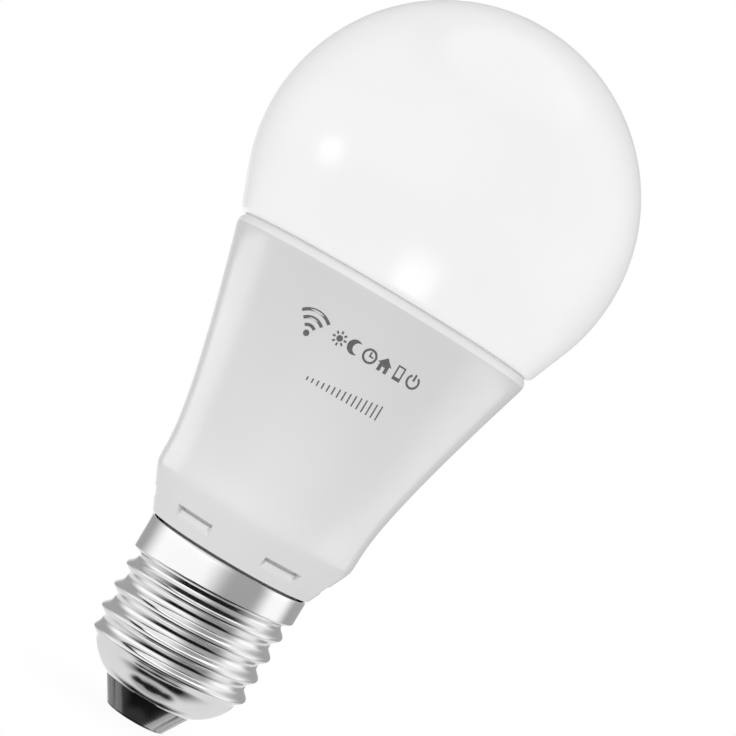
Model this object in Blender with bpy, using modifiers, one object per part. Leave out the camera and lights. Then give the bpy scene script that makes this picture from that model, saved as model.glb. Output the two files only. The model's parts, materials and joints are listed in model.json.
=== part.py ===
"""Smart LED light bulb with an E27 screw cap, built as an assembly of separate pieces.

The origin is the middle of the flat boss on the centre contact. +Z runs up the bulb's axis to
the top of the globe, and -Y is the front. Turned pieces are given as (radius, height) profiles.
"""

import math

import bmesh
import bpy
from mathutils import Matrix, Vector

MM = 0.001
GAP = 0.3 * MM  # clearance between neighbouring pieces

# Driving dimensions: globe
GLOBE_RADIUS = 30.0 * MM
GLOBE_CENTRE_Z = 91.75 * MM
GLOBE_WALL = 1.2 * MM
GLOBE_TAPER = math.radians(21.5)  # below this latitude the globe runs on as a cone
GLOBE_EDGE_Z = 74.7 * MM
GLOBE_EDGE_ROUND = 1.4 * MM
SKIRT_RADIUS = 23.3 * MM
SKIRT_INNER_RADIUS = 22.0 * MM
SKIRT_BOTTOM_Z = 72.65 * MM

# Driving dimensions: housing
RIM_TOP_Z = 74.4 * MM
RIM_RADIUS = 25.1 * MM
RIM_ROUND_WIDTH = 0.9 * MM  # the rim's rounding, measured inwards
RIM_ROUND_HEIGHT = 1.3 * MM  # and downwards
FLARE_TOP = (25.0 * MM, 72.45 * MM)
FLARE_BOTTOM = (16.93 * MM, 35.75 * MM)
FLARE_TOP_HANDLE = 32.0 * MM
FLARE_BOTTOM_HANDLE = 3.4 * MM
FLARE_TOP_SLOPE = 0.299
FLARE_BOTTOM_SLOPE = 0.163
HOUSING_WALL = 1.6 * MM
NECK_TOP = (16.6 * MM, 34.85 * MM)
NECK_BOTTOM = (13.8 * MM, 28.95 * MM)
SEAM_Z = 28.75 * MM
SPIGOT_RADIUS = 11.3 * MM
SPIGOT_BORE = 10.0 * MM
SPIGOT_BOTTOM_Z = 16.25 * MM
NOTCH_COUNT = 6
NOTCH_TOP_Z = 32.35 * MM
NOTCH_FLOOR_RADIUS = 14.6 * MM
NOTCH_ANGLE = math.radians(26)

# Driving dimensions: E27 screw cap
PITCH = 3.629 * MM
CREST_RADIUS = 13.2 * MM
ROOT_RADIUS = 12.1 * MM
COLLAR_RADIUS = 13.45 * MM
CREST_SHARPNESS = 1.5  # 1 is a sine wave, and more makes the crests narrower than the grooves
FIRST_CREST_Z = 21.8 * MM  # at +X
CAP_WALL = 0.35 * MM
CAP_TOP_Z = 28.35 * MM
THREAD_FADE_TOP_Z = 10.85 * MM
THREAD_FADE_BOTTOM_Z = 8.05 * MM
CUP_CENTRE = (7.0 * MM, 9.55 * MM)
CUP_HALF_WIDTH = 5.1 * MM
CUP_DEPTH = 5.2 * MM
CUP_EXPONENT = 1.5
LIP_Z = 4.55 * MM
INSULATOR_WAIST_RADIUS = 7.0 * MM  # inside the cap's lip
INSULATOR_TOP_RADIUS = 7.35 * MM
INSULATOR_BOTTOM_RADIUS = 4.95 * MM
INSULATOR_BOTTOM_Z = 0.3 * MM
CONTACT_RADIUS = 4.0 * MM
CONTACT_THICKNESS = 0.6 * MM
BOSS_RADIUS = 2.7 * MM  # the raised middle of the contact, which touches the lampholder
BOSS_HEIGHT = 0.3 * MM

# Driving dimensions: light engine
SPREADER_TOP_Z = 71.75 * MM
SPREADER_WALL = 0.8 * MM
SPREADER_BOTTOM_Z = 51.25 * MM
PLATE_THICKNESS = 1.0 * MM
PAD_THICKNESS = 0.4 * MM
PAD_RADIUS = 20.5 * MM
LED_BOARD_RADIUS = 20.9 * MM
LED_BOARD_THICKNESS = 1.2 * MM
LED_PAIRS = 8
LED_RING_RADIUS = 16.5 * MM
SCREW_Y = 9.5 * MM
SCREW_HOLE_RADIUS = 1.4 * MM
LED_WIRE_X = 9.0 * MM
LED_WIRE_BOTTOM_Z = 60.25 * MM
WIRE_Y = 1.4 * MM
WIRE_RADIUS = 0.6 * MM

# Driving dimensions: electronics
DRIVER_FACE_Y = 2.4 * MM  # front face of the driver board
DRIVER_THICKNESS = 1.2 * MM
DRIVER_BOTTOM_Z = 18.25 * MM
DRIVER_WIDENS_Z = (36.25 * MM, 44.25 * MM)  # between these the board goes from narrow to wide
DRIVER_TOP_Z = 65.25 * MM
DRIVER_NARROW_HALF = 8.4 * MM
DRIVER_WIDE_HALF = 13.0 * MM
RADIO_BOTTOM_Z = 59.25 * MM
RADIO_TOP_Z = 83.25 * MM
RADIO_WIDTH = 12.0 * MM
RADIO_THICKNESS = 0.8 * MM
SHIELD_CAN_Z = 65.25 * MM
RADIO_HEADER_Z = 62.25 * MM

# Places of the driver's components. Those on the front have y in front of the board
BULK_CAPACITOR_FOOT = (-4.3 * MM, -2.4 * MM, 21.25 * MM)
OUTPUT_CAPACITOR_FOOT = (7.0 * MM, -2.4 * MM, 45.25 * MM)
INDUCTOR_FOOT = (4.5 * MM, -1.8 * MM, 21.75 * MM)
TRANSFORMER_CENTRE = (-5.5 * MM, -3.4 * MM, 51.25 * MM)
FUSE_RESISTOR_CENTRE = (5.0 * MM, 0.6 * MM, 36.75 * MM)
FILM_CAPACITOR_XZ = (-3.6 * MM, 39.75 * MM)
RECTIFIER_XZ = (-3.0 * MM, 25.25 * MM)
CONTROLLER_XZ = (4.0 * MM, 47.25 * MM)
OUTPUT_DIODE_XZ = (-6.0 * MM, 51.25 * MM)
REGULATOR_XZ = (-4.0 * MM, 60.25 * MM)
VARISTOR_XZ = (1.0 * MM, 33.25 * MM)

ROUND_STEPS = 36
CAP_STEPS = 32
SMALL_STEPS = 20
SMOOTH_ANGLE = math.radians(35)


# ---------------------------------------------------------------- scene and object helpers


def clear_scene():
    for obj in list(bpy.data.objects):
        bpy.data.objects.remove(obj, do_unlink=True)


def new_collection(name):
    collection = bpy.data.collections.new(name)
    bpy.context.scene.collection.children.link(collection)
    return collection


def finish(obj, colour, roughness, metallic=0.0):
    """Gives the object a material of its own."""
    material = bpy.data.materials.new(obj.name)
    material.use_nodes = True
    shader = material.node_tree.nodes["Principled BSDF"]
    shader.inputs["Base Color"].default_value = (*colour, 1.0)
    shader.inputs["Roughness"].default_value = roughness
    shader.inputs["Metallic"].default_value = metallic
    obj.data.materials.clear()
    obj.data.materials.append(material)
    return obj


def add_part(name, data, location=(0, 0, 0)):
    obj = bpy.data.objects.new(name, data)
    obj.location = location
    obj.parent = root
    parts.objects.link(obj)
    return obj


def make_tool(obj):
    """Turns an object into a cutter or a joining piece: it shapes other parts and isn't one."""
    parts.objects.unlink(obj)
    tools.objects.link(obj)
    obj.hide_render = True
    obj.display_type = "WIRE"
    return obj


def boolean(obj, tool, operation):
    modifier = obj.modifiers.new(operation.lower(), "BOOLEAN")
    modifier.operation = operation
    modifier.solver = "EXACT"
    modifier.object = tool


def evaluated_mesh(obj):
    bpy.context.view_layer.update()
    graph = bpy.context.evaluated_depsgraph_get()
    return bpy.data.meshes.new_from_object(obj.evaluated_get(graph))


def bake_modifiers(obj):
    mesh = evaluated_mesh(obj)
    obj.modifiers.clear()
    obj.data = mesh


def shade(mesh):
    mesh.shade_smooth()
    mesh.set_sharp_from_angle(angle=SMOOTH_ANGLE)


# ---------------------------------------------------------------- modelling helpers


def turned(name, profile, steps=SMALL_STEPS, closed=True, location=(0, 0, 0)):
    """A turned piece. The profile runs down the outer side; closed joins its last point to its
    first, and is off where the profile starts and ends on the axis or stays an open surface."""
    mesh = bpy.data.meshes.new(name)
    edges = [(i, i + 1) for i in range(len(profile) - 1)]
    if closed:
        edges.append((len(profile) - 1, 0))
    mesh.from_pydata([(radius, 0, height) for radius, height in profile], edges, [])
    obj = add_part(name, mesh, location)
    screw = obj.modifiers.new("turn", "SCREW")
    screw.steps = steps
    screw.render_steps = steps
    screw.use_merge_vertices = True
    screw.merge_threshold = 0.00001
    bake_modifiers(obj)
    shade(obj.data)
    return obj


def block(name, size, centre, bevel=0.0):
    mesh = bpy.data.meshes.new(name)
    bm = bmesh.new()
    bmesh.ops.create_cube(bm, size=1.0, matrix=Matrix.Diagonal((*size, 1.0)))
    bm.to_mesh(mesh)
    bm.free()
    obj = add_part(name, mesh, centre)
    if bevel:
        modifier = obj.modifiers.new("edges", "BEVEL")
        modifier.width = bevel
        modifier.segments = 1
    return obj


def bars(name, size, centres):
    """Several equal boxes in one mesh, for cutting or joining."""
    mesh = bpy.data.meshes.new(name)
    bm = bmesh.new()
    for centre in centres:
        place = Matrix.Translation(centre) @ Matrix.Diagonal((*size, 1.0))
        bmesh.ops.create_cube(bm, size=1.0, matrix=place)
    bm.to_mesh(mesh)
    bm.free()
    return make_tool(add_part(name, mesh))


def rod(name, radius, length, centre, segments=SMALL_STEPS):
    mesh = bpy.data.meshes.new(name)
    bm = bmesh.new()
    bmesh.ops.create_cone(
        bm, cap_ends=True, segments=segments, radius1=radius, radius2=radius, depth=length
    )
    bm.to_mesh(mesh)
    bm.free()
    shade(mesh)
    return add_part(name, mesh, centre)


def wire(name, points, radius=WIRE_RADIUS):
    curve = bpy.data.curves.new(name, "CURVE")
    curve.dimensions = "3D"
    curve.bevel_depth = radius
    curve.bevel_resolution = 2
    curve.use_fill_caps = True
    spline = curve.splines.new("POLY")
    spline.points.add(len(points) - 1)
    for point, place in zip(spline.points, points):
        point.co = (*place, 1.0)
    return add_part(name, curve)


def board(name, outline, thickness, face_y):
    """An upright circuit board: an (x, z) outline, with its front face at face_y."""
    curve = bpy.data.curves.new(name, "CURVE")
    curve.dimensions = "2D"
    curve.fill_mode = "BOTH"
    curve.extrude = thickness / 2
    spline = curve.splines.new("POLY")
    spline.points.add(len(outline) - 1)
    for point, (x, z) in zip(spline.points, outline):
        point.co = (x, z, 0, 1)
    spline.use_cyclic_u = True
    obj = add_part(name, curve, (0, face_y + thickness / 2, 0))
    obj.rotation_euler.x = math.radians(90)
    return obj


def arc(centre, radius, start_deg, end_deg, steps, half_height=None):
    """Points on an arc in the (radius, height) plane. 0 points outwards and 90 up. With
    half_height it is part of an upright or flat ellipse instead of a circle."""
    points = []
    for i in range(steps + 1):
        angle = math.radians(start_deg + (end_deg - start_deg) * i / steps)
        across = centre[0] + radius * math.cos(angle)
        up = centre[1] + (half_height or radius) * math.sin(angle)
        points.append((max(across, 0.0), up))
    return points


def smoothstep(value, low, high):
    share = min(max((value - low) / (high - low), 0.0), 1.0)
    return share * share * (3 - 2 * share)


def shifted(profile, inwards):
    return [(radius - inwards, height) for radius, height in profile]


# ---------------------------------------------------------------- globe and housing


def diffuser_globe():
    """Opal shell: a sphere that runs on as a cone, with a skirt that plugs into the housing."""
    taper = math.degrees(GLOBE_TAPER)
    centre = (0, GLOBE_CENTRE_Z)
    cone_top_radius = GLOBE_RADIUS * math.cos(GLOBE_TAPER)
    cone_top_z = GLOBE_CENTRE_Z - GLOBE_RADIUS * math.sin(GLOBE_TAPER)
    edge_centre_z = GLOBE_EDGE_Z + GLOBE_EDGE_ROUND
    cone_end_z = edge_centre_z - GLOBE_EDGE_ROUND * math.sin(GLOBE_TAPER)
    cone_end_radius = cone_top_radius - (cone_top_z - cone_end_z) * math.tan(GLOBE_TAPER)
    edge_centre_radius = cone_end_radius - GLOBE_EDGE_ROUND * math.cos(GLOBE_TAPER)
    inner_wall = GLOBE_WALL / math.cos(GLOBE_TAPER)
    outer = arc(centre, GLOBE_RADIUS, 90, 0, 10) + arc(centre, GLOBE_RADIUS, 0, -taper, 3)[1:]
    edge = arc((edge_centre_radius, edge_centre_z), GLOBE_EDGE_ROUND, -taper, -90, 3)
    skirt = [
        (SKIRT_RADIUS, GLOBE_EDGE_Z),
        (SKIRT_RADIUS, SKIRT_BOTTOM_Z),
        (SKIRT_INNER_RADIUS, SKIRT_BOTTOM_Z),
        (SKIRT_INNER_RADIUS, edge_centre_z),
        (cone_end_radius - inner_wall, edge_centre_z),
    ]
    inner = arc(centre, GLOBE_RADIUS - GLOBE_WALL, -taper, 90, 10)
    globe = turned("diffuser_globe", outer + edge + skirt + inner, ROUND_STEPS, closed=False)
    return finish(globe, (0.9, 0.9, 0.9), 0.35)


def flare_profile(steps=10):
    """The housing's flared side from its top to the neck, as a cubic Bezier curve."""
    ends = [
        Vector(FLARE_TOP),
        Vector(FLARE_TOP) - Vector((FLARE_TOP_SLOPE, 1)) * FLARE_TOP_HANDLE,
        Vector(FLARE_BOTTOM) + Vector((FLARE_BOTTOM_SLOPE, 1)) * FLARE_BOTTOM_HANDLE,
        Vector(FLARE_BOTTOM),
    ]
    points = []
    for i in range(steps + 1):
        t = i / steps
        s = 1 - t
        at = s**3 * ends[0] + 3 * s * s * t * ends[1] + 3 * s * t * t * ends[2] + t**3 * ends[3]
        points.append((at.x, at.y))
    return points


def notch_cutter(middle_angle):
    """A sector of a ring, spun from a rectangle. It cuts one shallow pocket in the neck."""
    bottom_z = NOTCH_TOP_Z - 4 * MM
    outer_radius = NOTCH_FLOOR_RADIUS + 3 * MM
    start = middle_angle - NOTCH_ANGLE / 2
    corners = [
        (NOTCH_FLOOR_RADIUS, bottom_z),
        (outer_radius, bottom_z),
        (outer_radius, NOTCH_TOP_Z),
        (NOTCH_FLOOR_RADIUS, NOTCH_TOP_Z),
    ]
    mesh = bpy.data.meshes.new("notch_cutter")
    bm = bmesh.new()
    turn = Matrix.Rotation(start, 4, "Z")
    face = bm.faces.new([bm.verts.new(turn @ Vector((r, 0, z))) for r, z in corners])
    bmesh.ops.spin(
        bm, geom=[face], cent=(0, 0, 0), axis=(0, 0, 1), angle=NOTCH_ANGLE, steps=4
    )
    bmesh.ops.recalc_face_normals(bm, faces=bm.faces)
    bm.to_mesh(mesh)
    bm.free()
    return make_tool(add_part("notch_cutter", mesh))


def housing():
    """White plastic body: a rim band, the flared side, the notched neck and the spigot that
    the screw cap is pressed on."""
    seat_radius = SKIRT_RADIUS + GAP
    ledge_z = SPREADER_TOP_Z - PLATE_THICKNESS - GAP
    flare = flare_profile()
    rim_centre = (RIM_RADIUS - RIM_ROUND_WIDTH, RIM_TOP_Z - RIM_ROUND_HEIGHT)
    foot_chamfer = 0.25 * MM
    outside = [
        *arc(rim_centre, RIM_ROUND_WIDTH, 90, 0, 3, RIM_ROUND_HEIGHT),
        *flare,
        NECK_TOP,
        NECK_BOTTOM,
        (NECK_BOTTOM[0] - foot_chamfer, SEAM_Z),
        (SPIGOT_RADIUS, SEAM_Z),
        (SPIGOT_RADIUS, SPIGOT_BOTTOM_Z),
        (SPIGOT_BORE, SPIGOT_BOTTOM_Z),
        (SPIGOT_BORE, SEAM_Z - 2 * MM),
    ]
    wall = [point for point in shifted(flare, HOUSING_WALL) if point[1] < ledge_z - 1 * MM]
    ledge_radius = FLARE_TOP[0] - FLARE_TOP_SLOPE * (FLARE_TOP[1] - ledge_z) - HOUSING_WALL
    seat = [(ledge_radius, ledge_z), (seat_radius, ledge_z), (seat_radius, RIM_TOP_Z)]
    body = turned("housing", outside + wall[::-1] + seat, ROUND_STEPS)
    for i in range(NOTCH_COUNT):
        middle = 2 * math.pi * (i + 0.5) / NOTCH_COUNT + math.pi / 2
        boolean(body, notch_cutter(middle), "DIFFERENCE")
    bake_modifiers(body)
    shade(body.data)
    return finish(body, (0.8, 0.8, 0.8), 0.45)


def adhesive_bead():
    """Ring of silicone between the globe's skirt and the heat spreader."""
    top = SKIRT_BOTTOM_Z - GAP
    bottom = SPREADER_TOP_Z + GAP
    outer = SKIRT_RADIUS - 0.1 * MM
    inner = SKIRT_INNER_RADIUS + 0.2 * MM
    profile = [(outer, top), (outer, bottom), (inner, bottom), (inner, top)]
    return finish(turned("adhesive_bead", profile, ROUND_STEPS), (0.85, 0.85, 0.83), 0.5)


# ---------------------------------------------------------------- screw cap


def cap_base_radius(height):
    """The cap without its thread: straight down to the cup, then a flattened quarter round."""
    if height >= CUP_CENTRE[1]:
        return ROOT_RADIUS
    depth = (CUP_CENTRE[1] - height) / CUP_DEPTH
    return CUP_CENTRE[0] + CUP_HALF_WIDTH * (1 - depth**CUP_EXPONENT) ** (1 / CUP_EXPONENT)


def thread_rise(turns):
    """Height of the thread above its root. turns is 0 on the first crest, 0.5 in the groove
    above it, and beyond that the plain collar begins."""
    ridge = ((1 + math.cos(2 * math.pi * turns)) / 2) ** CREST_SHARPNESS
    rise = (CREST_RADIUS - ROOT_RADIUS) * ridge
    collar_rise = COLLAR_RADIUS - ROOT_RADIUS
    if turns > 0.5:
        rise = collar_rise * smoothstep(turns, 0.5, 0.8)
    return rise


def cap_radius(angle, height):
    """A right-hand thread that starts out of the collar at the back and fades into the cup."""
    turns = (height - FIRST_CREST_Z) / PITCH - angle / (2 * math.pi)
    start = smoothstep(angle, 0, math.pi)
    rise = (1 - start) * thread_rise(turns) + start * thread_rise(turns + 1)
    rise *= smoothstep(height, THREAD_FADE_BOTTOM_Z, THREAD_FADE_TOP_Z)
    return cap_base_radius(height) + rise


def cap_shell():
    """Thin nickel-plated shell with the rolled thread, open at both ends."""
    heights = [CAP_TOP_Z, CAP_TOP_Z - 1.6 * MM]
    rows_per_turn = 6
    height = CAP_TOP_Z - 3.0 * MM
    while height > THREAD_FADE_BOTTOM_Z:
        heights.append(height)
        height -= PITCH / rows_per_turn
    cup_rows = 7
    for i in range(1, cup_rows + 1):
        drop = math.sin(math.pi / 2 * i / cup_rows)
        heights.append(THREAD_FADE_BOTTOM_Z + (LIP_Z - THREAD_FADE_BOTTOM_Z) * drop)
    profile = [(cap_base_radius(height), height) for height in heights]
    shell = turned("cap_shell", profile, CAP_STEPS, closed=False)
    for vertex in shell.data.vertices:
        angle = math.atan2(vertex.co.y, vertex.co.x)
        radius = cap_radius(angle, vertex.co.z)
        vertex.co.x = radius * math.cos(angle)
        vertex.co.y = radius * math.sin(angle)
    solidify = shell.modifiers.new("sheet", "SOLIDIFY")
    solidify.thickness = CAP_WALL
    solidify.offset = -1
    bake_modifiers(shell)
    shade(shell.data)
    return finish(shell, (0.78, 0.78, 0.78), 0.18, 1.0)


def cap_insulator():
    """Black glass: a cone below the cap's lip, a waist in the lip, a flange inside the cup,
    and a recess below for the contact plate."""
    bore = 1.75 * MM
    flange_radius = 9.3 * MM
    flange_top_z = 7.45 * MM
    flange_thickness = 0.8 * MM
    waist_top_z = LIP_Z + 0.65 * MM
    edge = 0.15 * MM
    recess_radius = CONTACT_RADIUS + GAP
    recess_top_z = BOSS_HEIGHT + CONTACT_THICKNESS + GAP
    profile = [
        (flange_radius, flange_top_z),
        (flange_radius, flange_top_z - flange_thickness),
        (INSULATOR_WAIST_RADIUS, waist_top_z),
        (INSULATOR_WAIST_RADIUS, LIP_Z - GAP),
        (INSULATOR_TOP_RADIUS, LIP_Z - GAP),
        (INSULATOR_BOTTOM_RADIUS, INSULATOR_BOTTOM_Z + edge),
        (INSULATOR_BOTTOM_RADIUS - edge, INSULATOR_BOTTOM_Z),
        (recess_radius, INSULATOR_BOTTOM_Z),
        (recess_radius, recess_top_z),
        (bore, recess_top_z),
        (bore, flange_top_z),
    ]
    return finish(turned("cap_insulator", profile, CAP_STEPS), (0.02, 0.02, 0.018), 0.12)


def centre_contact():
    """Contact plate with a raised flat boss, and the pin that holds it in the insulator."""
    pin_radius = 1.4 * MM
    pin_top_z = 6.85 * MM
    edge = 0.15 * MM
    plate_top_z = BOSS_HEIGHT + CONTACT_THICKNESS
    profile = [
        (0, pin_top_z),
        (pin_radius, pin_top_z),
        (pin_radius, plate_top_z),
        (CONTACT_RADIUS - edge, plate_top_z),
        (CONTACT_RADIUS, plate_top_z - edge),
        (CONTACT_RADIUS, BOSS_HEIGHT),
        (BOSS_RADIUS, BOSS_HEIGHT),
        (BOSS_RADIUS, edge),
        (BOSS_RADIUS - edge, 0),
        (0, 0),
    ]
    contact = turned("centre_contact", profile, CAP_STEPS, closed=False)
    return finish(contact, (0.75, 0.74, 0.7), 0.25, 1.0)


# ---------------------------------------------------------------- light engine


def board_openings():
    """Cutters for the holes that the heat spreader's plate, the pad and the LED board share."""
    middle_z = SPREADER_TOP_Z
    length = 10 * MM
    slot_size = (RADIO_WIDTH + 4 * GAP, RADIO_THICKNESS + 4 * GAP, length)
    openings = [block("radio_slot_cutter", slot_size, (0, 0, middle_z))]
    for side in (-1, 1):
        place = (0, side * SCREW_Y, middle_z)
        openings.append(rod("screw_hole_cutter", SCREW_HOLE_RADIUS, length, place))
        place = (side * LED_WIRE_X, WIRE_Y, middle_z)
        openings.append(rod("wire_hole_cutter", WIRE_RADIUS + 2 * GAP, length, place))
    return [make_tool(opening) for opening in openings]


def with_openings(obj, openings):
    for opening in openings:
        boolean(obj, opening, "DIFFERENCE")
    return obj


def heat_spreader(openings):
    """Aluminium cup, upside down: the plate carries the LED board, and the skirt lies inside
    the housing's wall."""
    flange_radius = SKIRT_RADIUS
    plate_bottom_z = SPREADER_TOP_Z - PLATE_THICKNESS
    clearance = HOUSING_WALL + GAP + 0.1 * MM
    skirt_top_z = plate_bottom_z - 1.4 * MM
    skirt = [
        point
        for point in shifted(flare_profile(), clearance)
        if SPREADER_BOTTOM_Z < point[1] < skirt_top_z
    ]
    shoulder = (skirt[0][0] + 0.3 * MM, plate_bottom_z)
    profile = [
        (0, SPREADER_TOP_Z),
        (flange_radius, SPREADER_TOP_Z),
        (flange_radius, plate_bottom_z),
        shoulder,
        *skirt,
        *shifted(skirt[::-1], SPREADER_WALL),
        (shoulder[0] - SPREADER_WALL, plate_bottom_z),
        (0, plate_bottom_z),
    ]
    spreader = turned("heat_spreader", profile, ROUND_STEPS, closed=False)
    return with_openings(finish(spreader, (0.8, 0.8, 0.81), 0.35, 1.0), openings)


def disc(name, radius, bottom_z, thickness):
    return rod(name, radius, thickness, (0, 0, bottom_z + thickness / 2), ROUND_STEPS)


def thermal_pad(openings):
    pad = disc("thermal_pad", PAD_RADIUS, SPREADER_TOP_Z + GAP, PAD_THICKNESS)
    return with_openings(finish(pad, (0.55, 0.58, 0.62), 0.8), openings)


def led_board_bottom_z():
    return SPREADER_TOP_Z + GAP + PAD_THICKNESS + GAP


def led_board(openings):
    """Aluminium-core circuit board with a white solder mask."""
    disc_part = disc("led_board", LED_BOARD_RADIUS, led_board_bottom_z(), LED_BOARD_THICKNESS)
    return with_openings(finish(disc_part, (0.85, 0.85, 0.84), 0.4), openings)


def led_package(name, angle, colour):
    """Surface-mount LED with its phosphor set a little into the frame."""
    size = (3.5 * MM, 2.8 * MM, 0.7 * MM)
    frame_width = 0.4 * MM
    phosphor_depth = 0.12 * MM
    mesh = bpy.data.meshes.new(name)
    bm = bmesh.new()
    bmesh.ops.create_cube(bm, size=1.0, matrix=Matrix.Diagonal((*size, 1.0)))
    top = [face for face in bm.faces if face.normal.z > 0.9]
    bmesh.ops.inset_region(bm, faces=top, thickness=frame_width, depth=-phosphor_depth)
    bm.to_mesh(mesh)
    bm.free()
    height = led_board_bottom_z() + LED_BOARD_THICKNESS + GAP + size[2] / 2
    place = Matrix.Rotation(angle, 3, "Z") @ Vector((LED_RING_RADIUS, 0, height))
    led = add_part(name, mesh, place)
    led.rotation_euler.z = angle
    return finish(led, colour, 0.4)


def leds():
    """Warm and cool white LEDs in turn round the board."""
    warm = (0.9, 0.72, 0.25)
    cool = (0.92, 0.88, 0.45)
    step = 2 * math.pi / LED_PAIRS
    for i in range(LED_PAIRS):
        led_package(f"warm_led_{i + 1}", i * step + step / 4, warm)
        led_package(f"cool_led_{i + 1}", i * step + step * 3 / 4, cool)


def board_screw(name, y):
    """Pan-head screw with a cross recess, through the LED board into the spreader's plate."""
    head_radius = 2.3 * MM
    head_height = 1.5 * MM
    shank_radius = 1.1 * MM
    seat_z = led_board_bottom_z() + LED_BOARD_THICKNESS + GAP
    tip_z = SPREADER_TOP_Z - 4.0 * MM
    profile = [
        (0, seat_z + head_height),
        (head_radius * 0.6, seat_z + head_height),
        (head_radius, seat_z + head_height * 0.55),
        (head_radius, seat_z),
        (shank_radius, seat_z),
        (shank_radius, tip_z + 0.8 * MM),
        (0, tip_z),
    ]
    screw = turned(name, profile, 16, closed=False, location=(0, y, 0))
    recess_z = seat_z + head_height
    for size in ((2.2 * MM, 0.5 * MM, 1.6 * MM), (0.5 * MM, 2.2 * MM, 1.6 * MM)):
        recess = bars("recess_cutter", size, [(0, y, recess_z)])
        boolean(screw, recess, "DIFFERENCE")
    return finish(screw, (0.6, 0.6, 0.6), 0.3, 1.0)


def led_wire(name, side):
    """Insulated wire from the driver board up through the plate, bent over onto the LED board."""
    x = side * LED_WIRE_X
    over_z = led_board_bottom_z() + LED_BOARD_THICKNESS + WIRE_RADIUS + GAP
    bend = 0.5 * MM
    reach = 2.5 * MM
    points = [
        (x, WIRE_Y, LED_WIRE_BOTTOM_Z),
        (x, WIRE_Y, over_z - bend),
        (x + side * bend, WIRE_Y, over_z),
        (x + side * reach, WIRE_Y, over_z),
    ]
    return wire(name, points)


# ---------------------------------------------------------------- radio module


def radio_board():
    """Upright radio board. Its antenna end stands above the metal plate."""
    half = RADIO_WIDTH / 2
    corner = 1.0 * MM
    outline = [
        (-half, RADIO_BOTTOM_Z),
        (half, RADIO_BOTTOM_Z),
        (half, RADIO_TOP_Z - corner),
        (half - corner, RADIO_TOP_Z),
        (corner - half, RADIO_TOP_Z),
        (-half, RADIO_TOP_Z - corner),
    ]
    obj = board("radio_board", outline, RADIO_THICKNESS, -RADIO_THICKNESS / 2)
    return finish(obj, (0.04, 0.16, 0.3), 0.4)


def radio_shield_can():
    size = (10 * MM, 1.8 * MM, 8 * MM)
    y = -RADIO_THICKNESS / 2 - GAP - size[1] / 2
    can = block("radio_shield_can", size, (0, y, SHIELD_CAN_Z), bevel=0.3 * MM)
    return finish(can, (0.7, 0.7, 0.72), 0.3, 1.0)


def radio_antenna():
    """Meandering antenna conductor near the top of the radio board."""
    radius = 0.2 * MM
    y = -RADIO_THICKNESS / 2 - GAP - radius
    low_z = RADIO_TOP_Z - 4.5 * MM
    high_z = RADIO_TOP_Z - 1.5 * MM
    columns = 6
    spacing = 1.6 * MM
    first_x = -spacing * (columns - 1) / 2
    points = [(first_x, y, RADIO_TOP_Z - 7 * MM)]
    for i in range(columns):
        x = first_x + i * spacing
        ends = (low_z, high_z) if i % 2 == 0 else (high_z, low_z)
        points += [(x, y, z) for z in ends]
    antenna = wire("radio_antenna", points, radius)
    return finish(antenna, (0.8, 0.55, 0.3), 0.35, 1.0)


def radio_header():
    """Pin header between the radio board and the driver board."""
    low_y = RADIO_THICKNESS / 2 + GAP
    high_y = DRIVER_FACE_Y - GAP
    size = (9 * MM, high_y - low_y, 2.4 * MM)
    place = (0, (low_y + high_y) / 2, RADIO_HEADER_Z)
    header = block("radio_header", size, place, bevel=0.15 * MM)
    return finish(header, (0.03, 0.03, 0.03), 0.5)


# ---------------------------------------------------------------- driver


def driver_board():
    """Upright driver board, narrow in the cap's neck and wide in the housing."""
    narrow = DRIVER_NARROW_HALF
    wide = DRIVER_WIDE_HALF
    narrow_end_z, wide_start_z = DRIVER_WIDENS_Z
    corner = 2.0 * MM
    outline = [
        (-narrow, DRIVER_BOTTOM_Z),
        (narrow, DRIVER_BOTTOM_Z),
        (narrow, narrow_end_z),
        (wide, wide_start_z),
        (wide, DRIVER_TOP_Z - corner),
        (wide - corner, DRIVER_TOP_Z),
        (corner - wide, DRIVER_TOP_Z),
        (-wide, DRIVER_TOP_Z - corner),
        (-wide, wide_start_z),
        (-narrow, narrow_end_z),
    ]
    obj = board("driver_board", outline, DRIVER_THICKNESS, DRIVER_FACE_Y)
    return finish(obj, (0.05, 0.22, 0.1), 0.4)


def electrolytic(name, radius, length, place):
    """Electrolytic capacitor: a sleeved can, crimped near its foot, standing on Z."""
    rim = 0.4 * MM
    crimp_z = 1.6 * MM
    crimp_depth = 0.35 * MM
    sleeve_lap = 0.9 * MM  # what the sleeve covers of the can's top
    top_sink = 0.2 * MM
    profile = [
        (0, length - top_sink),
        (radius - sleeve_lap - rim, length - top_sink),
        (radius - sleeve_lap, length),
        (radius - rim, length),
        (radius, length - rim),
        (radius, crimp_z + rim),
        (radius - crimp_depth, crimp_z),
        (radius, crimp_z - rim),
        (radius, rim),
        (radius - rim, 0),
        (0, 0),
    ]
    can = turned(name, profile, closed=False, location=place)
    return finish(can, (0.05, 0.06, 0.09), 0.35)


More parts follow.
